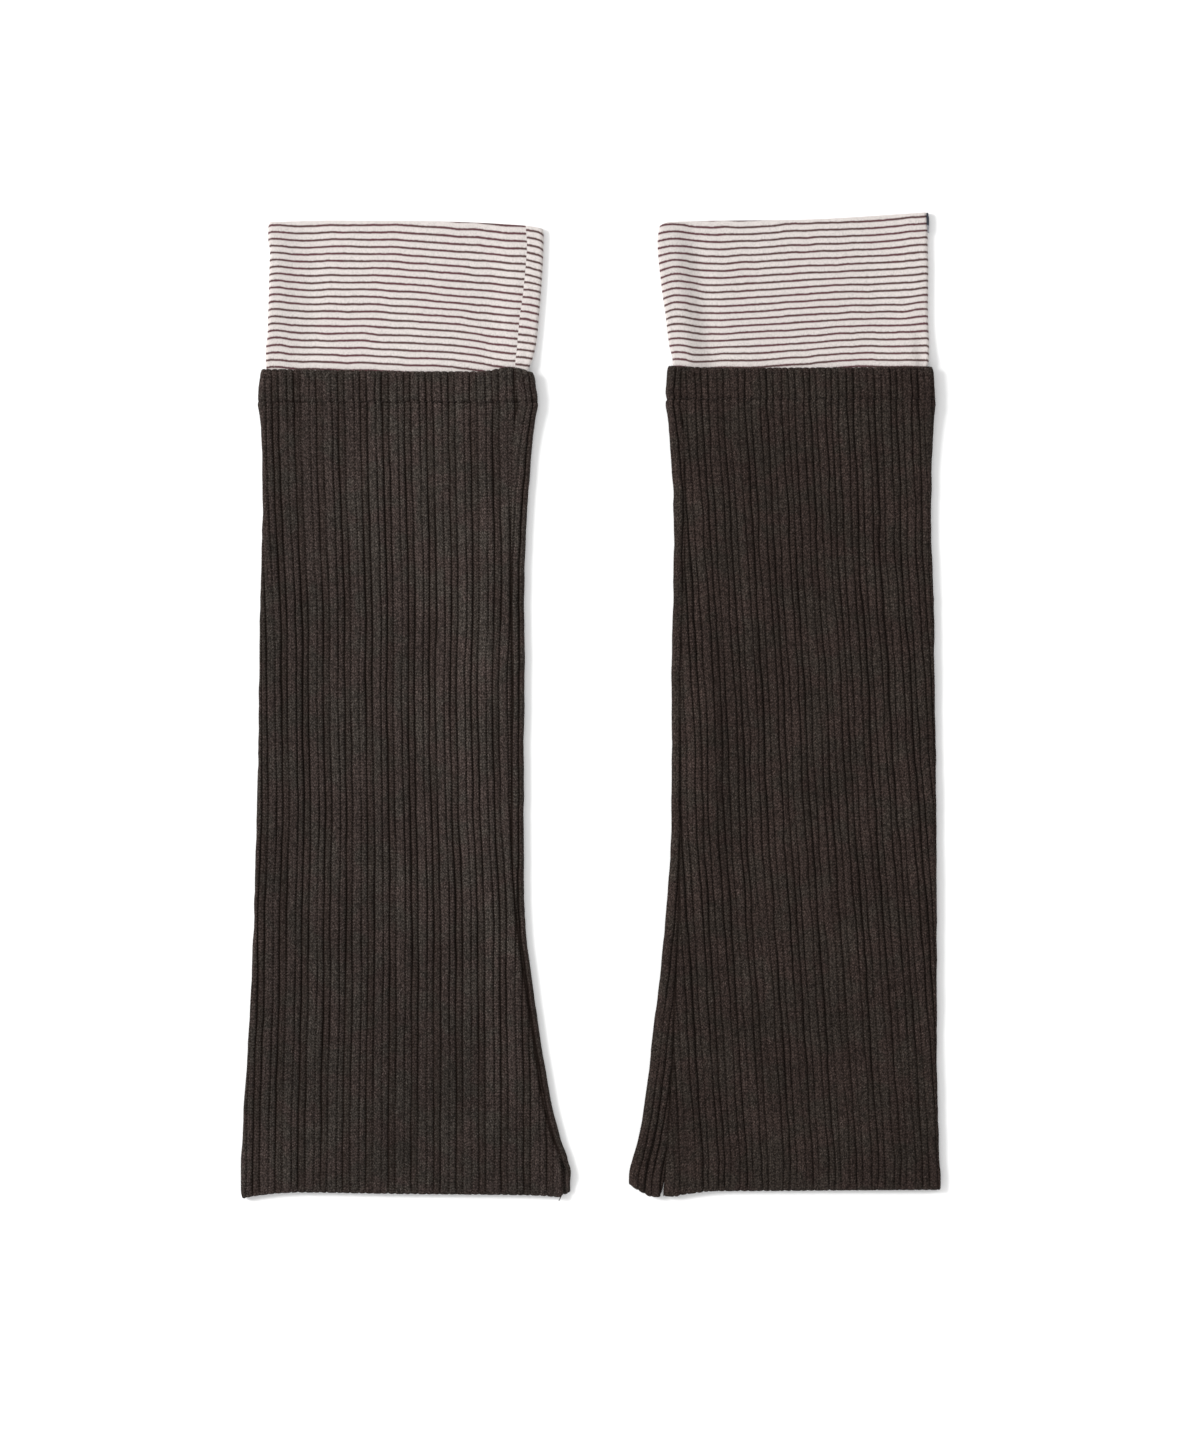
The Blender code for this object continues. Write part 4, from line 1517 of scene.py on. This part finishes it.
LEFT_CUFF = StripedCuff(
    tube=LEFT_TUBE,
    rows=(
        (399.5, 66.1, 68.8, 60.5), (405, 65.6, 68.1, 60.5), (412, 64.2, 66.8, 60.2),
        (414.8, 64.5, 67.6, 60.2), (418, 64.6, 68.8, 60.4), (422.5, 64.6, 70, 60.8),
        (430, 63.8, 71.2, 61.5), (440, 63.5, 72, 62.4), (450, 63.2, 72.8, 63.8), (462.5, 62.9, 73.6, 65),
        (472.5, 62.6, 74.1, 65.8), (478.5, 63.5, 74.3, 66), (483.5, 63.5, 74.4, 65.6),
        (487, 62.8, 74, 65.3),
    ),
    top_line=((-63, -0.5), (-30, 0.2), (10, 0), (64, -2.2), (74, -3.8)),
    stripes=(
        (-63.5, 484.4, 449.3, 413.8), (-61.5, 485, 450.1, 414.1), (-58.5, 485, 450.3, 414.1),
        (-52.5, 484.5, 449.5, 413.3), (-42.5, 484.2, 448.9, 412.8), (-32.5, 484.7, 449, 412.5),
        (-17.5, 485, 449, 412.3), (2.5, 484.7, 448.1, 411.3), (22.5, 483.5, 446.6, 410.8),
        (42.5, 482.3, 444.8, 408.4), (58.5, 480.9, 443.1, 406), (66, 480.4, 442.6, 405.6),
    ),
    strip_stripes=(
        (58, 482.5, 445.6, 408), (66, 482.3, 445.2, 407.1), (69, 481.9, 444.6, 406.5),
        (71.5, 481.4, 444, 405.9), (73.2, 480.6, 443.2, 405), (74.4, 479.6, 442.2, 404),
    ),
    swells=(
        Swell(-40, 450, 5, 40, -0.3, 0.03), Swell(10, 455, 18, 45, 0.25),
        Swell(48, 440, 8, 30, -0.25, 0.1), Swell(-57, 470, 5, 30, 0.25),
    ),
    painted_light_and_tones=(Swell(-54, 452, 8, 48, -0.11), Swell(53, 452, 6, 45, 0.05)),
    seed=41,
    flat=(0.285, 0.0875),
)

# across, then how far up the first, the eleventh and the twenty-first stripe lie
RIGHT_STRIPES = (
    (-62.5, 486.6, 451.6, 414.9), (-60.5, 487.7, 452.2, 415.9), (-53.5, 487.5, 451.3, 415.9),
    (-47.5, 486.5, 450.6, 416), (-27.5, 485, 450, 416.1), (-7.5, 484.4, 449.4, 414.5),
    (12.5, 483.5, 448.2, 413), (32.5, 482.4, 446.8, 412.2), (42.5, 482.2, 446.2, 412.1),
    (50.5, 482.6, 446.4, 411.7), (55.5, 482.9, 447.3, 411.5), (60.5, 483.3, 448, 412.5),
    (63, 483.5, 448.2, 412.7), (66, 483.55, 448, 412.5), (68.5, 483.4, 447.3, 411.9),
    (70.5, 483.2, 446.5, 410.8), (73, 482.6, 445.6, 409.8),
)

RIGHT_CUFF = StripedCuff(
    tube=RIGHT_TUBE,
    rows=(
        (400, 62.6, 67.5, 61), (406, 62.1, 67.2, 61.2), (412.5, 61.2, 66.2, 61.4), (414.8, 61.8, 66.2, 60),
        (418, 62, 66.6, 60.5), (422.5, 62.1, 67.8, 61.5), (430, 61.8, 68.8, 62.5), (440, 61.5, 69.9, 63.5),
        (450, 61.6, 71.3, 64.9), (460, 61.7, 72.4, 66), (470, 61.4, 73.4, 67), (477, 61.4, 73.8, 67.4),
        (482.5, 61.4, 73.4, 67), (486.2, 60.8, 72.6, 66.2),
    ),
    top_line=((-61, 3.6), (0, 0), (68, -1.2), (73, -3)),
    stripes=RIGHT_STRIPES,
    strip_stripes=((60, 483.3, 447.9, 412.4), *RIGHT_STRIPES[-5:]),
    swells=(
        Swell(51, 445, 5.5, 40, -1.1, 0.14), Swell(62, 444, 5, 36, 0.6, 0.1),
        Swell(-57.2, 418, 2.2, 12, -0.9, 0.08), Swell(-61, 419, 2, 10, 0.3), Swell(-20, 450, 16, 40, 0.25),
        Swell(20, 440, 12, 40, -0.2, 0.1),
    ),
    painted_light_and_tones=(
        Swell(56, 440, 7, 50, -0.15, 0.12), Swell(-48, 452, 12, 50, 0.05),
        Swell(-57.5, 419, 2.5, 9, -0.12),
    ),
    seam_depth=0.0,
    seed=43,
    flat=(0.28, 0.0875),
)


@dataclass
class SideLabel:
    """A small navy tape on the outer fold of the right cuff, at its top corner, narrower at both ends."""

    cuff: StripedCuff
    length: float = 10.0
    below_top: float = 0.2
    gap: float = 0.22
    wall: float = 0.5
    start: float = -162.0  # round the fold, in degrees
    end: float = -234.0
    low_loss: float = 20.0  # how much less far it goes round at its lower end
    top_loss: float = 22.0
    column_width: float = 0.8
    rows: int = 16
    columns: int = 14

    def grid(self, layer: float) -> list[tuple[float, float, float]]:
        """The points of one face of the tape.

        Args:
            layer: how far out it lies from the inner face.

        Returns:
            The points, row by row.
        """
        cuff, points = self.cuff, []
        for share in np.linspace(0, 1, self.rows):
            up = cuff.top_up - self.below_top - self.length * (1 - share)
            outer, radius = float(cuff.outer.at(up)), float(cuff.height.at(up)) / 2
            loss = self.low_loss * (1 - smooth(share, 0.25, 0.42)) + self.top_loss * smooth(share, 0.75, 1.0)
            rise, outside = float(cuff.top.at(-outer)), radius + self.gap
            for angle in np.radians(np.linspace(self.start, self.end + loss, self.columns)):
                c, s = math.cos(angle), math.sin(angle)
                reach = outside + layer
                points.append((radius - outer + c * reach, up + rise, radius + s * reach))
        return points

    def build(self, finish: bpy.types.Material) -> bpy.types.Object:
        """Builds the label.

        Args:
            finish: the tape's material.

        Returns:
            The piece.
        """
        rows, columns, leg = self.rows, self.columns, self.cuff.leg
        sheets = np.arange(2 * rows * columns).reshape(2, rows, columns)
        faces = []
        for row in range(rows - 1):
            for column in range(columns - 1):
                after = column + 1
                inner, outer = sheets[:, [row, row, row + 1, row + 1], [column, after, after, column]]
                faces += [inner.tolist(), outer[::-1].tolist()]
        inner, outer = (
            np.concatenate([sheet[0], sheet[1:, -1], sheet[-1, -2::-1], sheet[-2:0:-1, 0]]).tolist()
            for sheet in sheets
        )
        faces += [list(face) for face in zip(inner[1:] + inner[:1], inner, outer, outer[1:] + outer[:1])]
        faces = [face[:: leg.side.value] for face in faces]
        row_width = self.length / (rows - 1)
        uv = [
            (number % columns * self.column_width, number // columns % rows * row_width)
            for face in faces
            for number in face
        ]
        points = np.array(self.grid(0.0) + self.grid(self.wall))
        return new_piece(f"{leg.word}_label_tape", leg.place(points), faces, uv, finish)


@dataclass
class BlindStitches:
    """The thread that holds down the turned top of a rib tube, as short stitches in the crease."""

    tube: RibTube
    spacing: float = 3.6
    sink: float = 0.5
    length: float = 1.5
    thickness: float = 0.42
    slant: float = 0.25

    def build(self, trees: KnitTrees, finish: bpy.types.Material) -> bpy.types.Object:
        """Builds the stitches.

        Args:
            trees: the Geometry Nodes trees.
            finish: the thread's material.

        Returns:
            The piece.
        """
        leg, up = self.tube.leg, self.tube.crease_up
        section = self.tube.section(up)
        count = int(section.length / self.spacing)
        runs = (np.arange(count) + 0.5) * section.length / count
        across, z, inward_across, inward_up = section.read(runs)
        sunk = [across + inward_across * self.sink, np.full_like(runs, up), z + inward_up * self.sink]
        piece = new_piece(f"{leg.word}_blind_stitches", leg.place(np.stack(sunk, axis=1)), [])
        roll = np.arctan2(-inward_across * leg.side.value, -inward_up)
        add_mark(piece, "turn", np.stack([np.zeros_like(runs), roll, np.full_like(runs, self.slant)], axis=1))
        sizes = {"Stitch length": self.length * MM, "Thread radius": self.thickness * MM / 2}
        return apply_tree(piece, trees.stitches, {**sizes, "Finish": finish})


@dataclass
class LooseThread:
    """The end of the seam's thread that hangs out at the left hem's corner."""

    leg: Leg
    # across, up, height
    line: Table = (
        (83, 1.6, 3.4), (83.1, 0.2, 3.9), (82.8, -0.9, 3.6),
        (82.6, -1.6, 2.9), (82.2, -2.3, 2.4), (82, -2.9, 2.3),
    )
    thickness: float = 0.5
    sides: int = 6

    def build(self, finish: bpy.types.Material) -> bpy.types.Object:
        """Builds the thread.

        Args:
            finish: the thread's material.

        Returns:
            The piece.
        """
        sides, count = self.sides, len(self.line)
        turns = np.arange(sides) * 2 * math.pi / sides
        points = []
        for place, centre in enumerate(self.line):
            radius = self.thickness / (4 if place in (0, count - 1) else 2)
            turned = np.stack([np.cos(turns), turns * 0, np.sin(turns)], axis=1)
            points.append(np.array(centre) + radius * turned)
        rings = np.arange(count * sides).reshape(count, sides)
        after = np.roll(rings, -1, axis=1)
        faces = np.stack([rings[:-1], after[:-1], after[1:], rings[1:]], axis=2).reshape(-1, 4).tolist()
        faces += [rings[0, ::-1].tolist(), rings[-1].tolist()]
        points = self.leg.place(np.concatenate(points))
        return new_piece(f"{self.leg.word}_loose_thread", points, faces, finish=finish)


# The studio

@dataclass
class Studio:
    """A plain pale floor, soft light from the left, and the camera straight above."""

    view_centre: tuple[float, float] = (4.5, -7.5)
    view_height: float = 720.0
    sharp_up: float = 2.3  # where the frame is measured, half way up the laid cloth
    camera_up: float = 4000.0
    sensor: float = 36.0
    floor_half: float = 3000.0
    floor_up: float = -0.4
    floor_tones: tuple[Rgb, Rgb] = ((0.9, 0.9, 0.9), (0.91, 0.91, 0.91))
    room_light: float = 0.95
    key_place: tuple[float, float, float] = (-2.3, 0.7, 1.9)  # in metres
    key_size: float = 1.0  # in metres
    key_power: float = 88.0  # in watts

    def floor(self) -> None:
        """Lays the floor."""
        half = self.floor_half
        corners = np.array([(-half, -half, 0), (half, -half, 0), (half, half, 0), (-half, half, 0)])
        paper = Material("pale_paper")
        grain = paper.node("ShaderNodeTexNoise", {"Vector": paper.place, "Scale": 3.0})[0]
        paper.set(Base_Color=paper.mix(grain, *self.floor_tones), Roughness=0.9, Specular_IOR_Level=0.1)
        made = new_piece("floor", corners, [[0, 1, 2, 3]], finish=paper.made)
        made.location.z = self.floor_up * MM

    def light(self) -> None:
        """Lights the room, with one square soft light towards the middle."""
        scene = bpy.context.scene
        scene.world = bpy.data.worlds.new("room")
        scene.world.use_nodes = True
        back = scene.world.node_tree.nodes["Background"].inputs
        back["Color"].default_value, back["Strength"].default_value = (1.0, 1.0, 1.0, 1.0), self.room_light
        key = bpy.data.lights.new("key", "AREA")
        key.shape, key.size, key.energy = "SQUARE", self.key_size, self.key_power
        made = bpy.data.objects.new("key", key)
        made.location = self.key_place
        made.rotation_euler = (-Vector(self.key_place)).to_track_quat("-Z", "Y").to_euler()
        scene.collection.objects.link(made)
        scene.view_settings.view_transform, scene.view_settings.look = "Standard", "None"

    def camera(self) -> None:
        """Puts the camera straight above, at the photograph's frame."""
        data = bpy.data.cameras.new("camera")
        data.sensor_width = self.sensor
        data.lens = self.sensor * (self.camera_up - self.sharp_up) / self.view_height
        made = bpy.data.objects.new("camera", data)
        made.location = (self.view_centre[0] * MM, self.view_centre[1] * MM, self.camera_up * MM)
        bpy.context.scene.collection.objects.link(made)
        bpy.context.scene.camera = made

    def build(self) -> None:
        """Sets the studio up."""
        self.floor()
        self.light()
        self.camera()


# The pair

@dataclass
class LegWarmerPair:
    """The pair: two rib tubes, two striped cuffs and one label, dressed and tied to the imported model."""

    left_knit: RibKnitFinish = RibKnitFinish(
        "left_rib_knit", (0.0324, 0.0248, 0.0218), (0.0700, 0.0578, 0.0536), (0.0072, 0.0038, 0.0024)
    )
    right_knit: RibKnitFinish = RibKnitFinish(
        "right_rib_knit",
        (0.0272, 0.0195, 0.0166),
        (0.0635, 0.0502, 0.0461),
        (0.0054, 0.0026, 0.0015),
        groove_shade_share=0.62,
        sunk_rib_shade_share=0.08,
    )
    jersey: JerseyFinish = JerseyFinish(
        "striped_jersey", (0.60, 0.555, 0.53), (0.080, 0.031, 0.036), (0.060, 0.041, 0.034)
    )
    tape: TapeFinish = TapeFinish("label_tape", (0.010, 0.014, 0.024), (0.26, 0.265, 0.285))
    thread: ThreadFinish = ThreadFinish("brown_thread", (0.016, 0.012, 0.011))

    def place(self, piece: bpy.types.Object, slot: str, node: str | None = None) -> bpy.types.Object:
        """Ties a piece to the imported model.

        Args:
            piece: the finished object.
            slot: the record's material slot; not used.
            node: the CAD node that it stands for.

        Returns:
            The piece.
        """
        if node:
            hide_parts(node)
        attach(piece, BODY)
        LOG.info("%s: %d triangles", piece.name, sum(len(face.vertices) - 2 for face in piece.data.polygons))
        return piece

    def build(self) -> None:
        """Builds the whole pair."""
        trees, groups = KnitTrees(), YarnGroups()
        jersey, thread = self.jersey.material(groups), self.thread.material(groups)
        for cuff, knit in ((LEFT_CUFF, self.left_knit), (RIGHT_CUFF, self.right_knit)):
            tube, word = cuff.tube, cuff.leg.word
            ribbed = tube.build(trees, knit.material(groups))
            cloth = self.place(ribbed, f"{word}_rib_knit", f"{word}_rib_tube")
            sewn_on = [self.place(BlindStitches(tube).build(trees, thread), f"{word}_rib_knit")]
            striped = self.place(cuff.build(jersey), "striped_jersey", f"{word}_striped_cuff")
            if tube.leg.side is Side.LEFT:
                sewn_on.append(self.place(LooseThread(tube.leg).build(thread), f"{word}_rib_knit"))
        label = SideLabel(RIGHT_CUFF).build(self.tape.material(groups))
        self.place(label, "label_tape", "right_side_label")


def main() -> None:
    """Builds the pair in its studio."""
    logging.basicConfig(level=logging.INFO, format="%(name)s: %(message)s")
    Studio().build()
    LegWarmerPair().build()


if __name__ == "__main__":
    main()
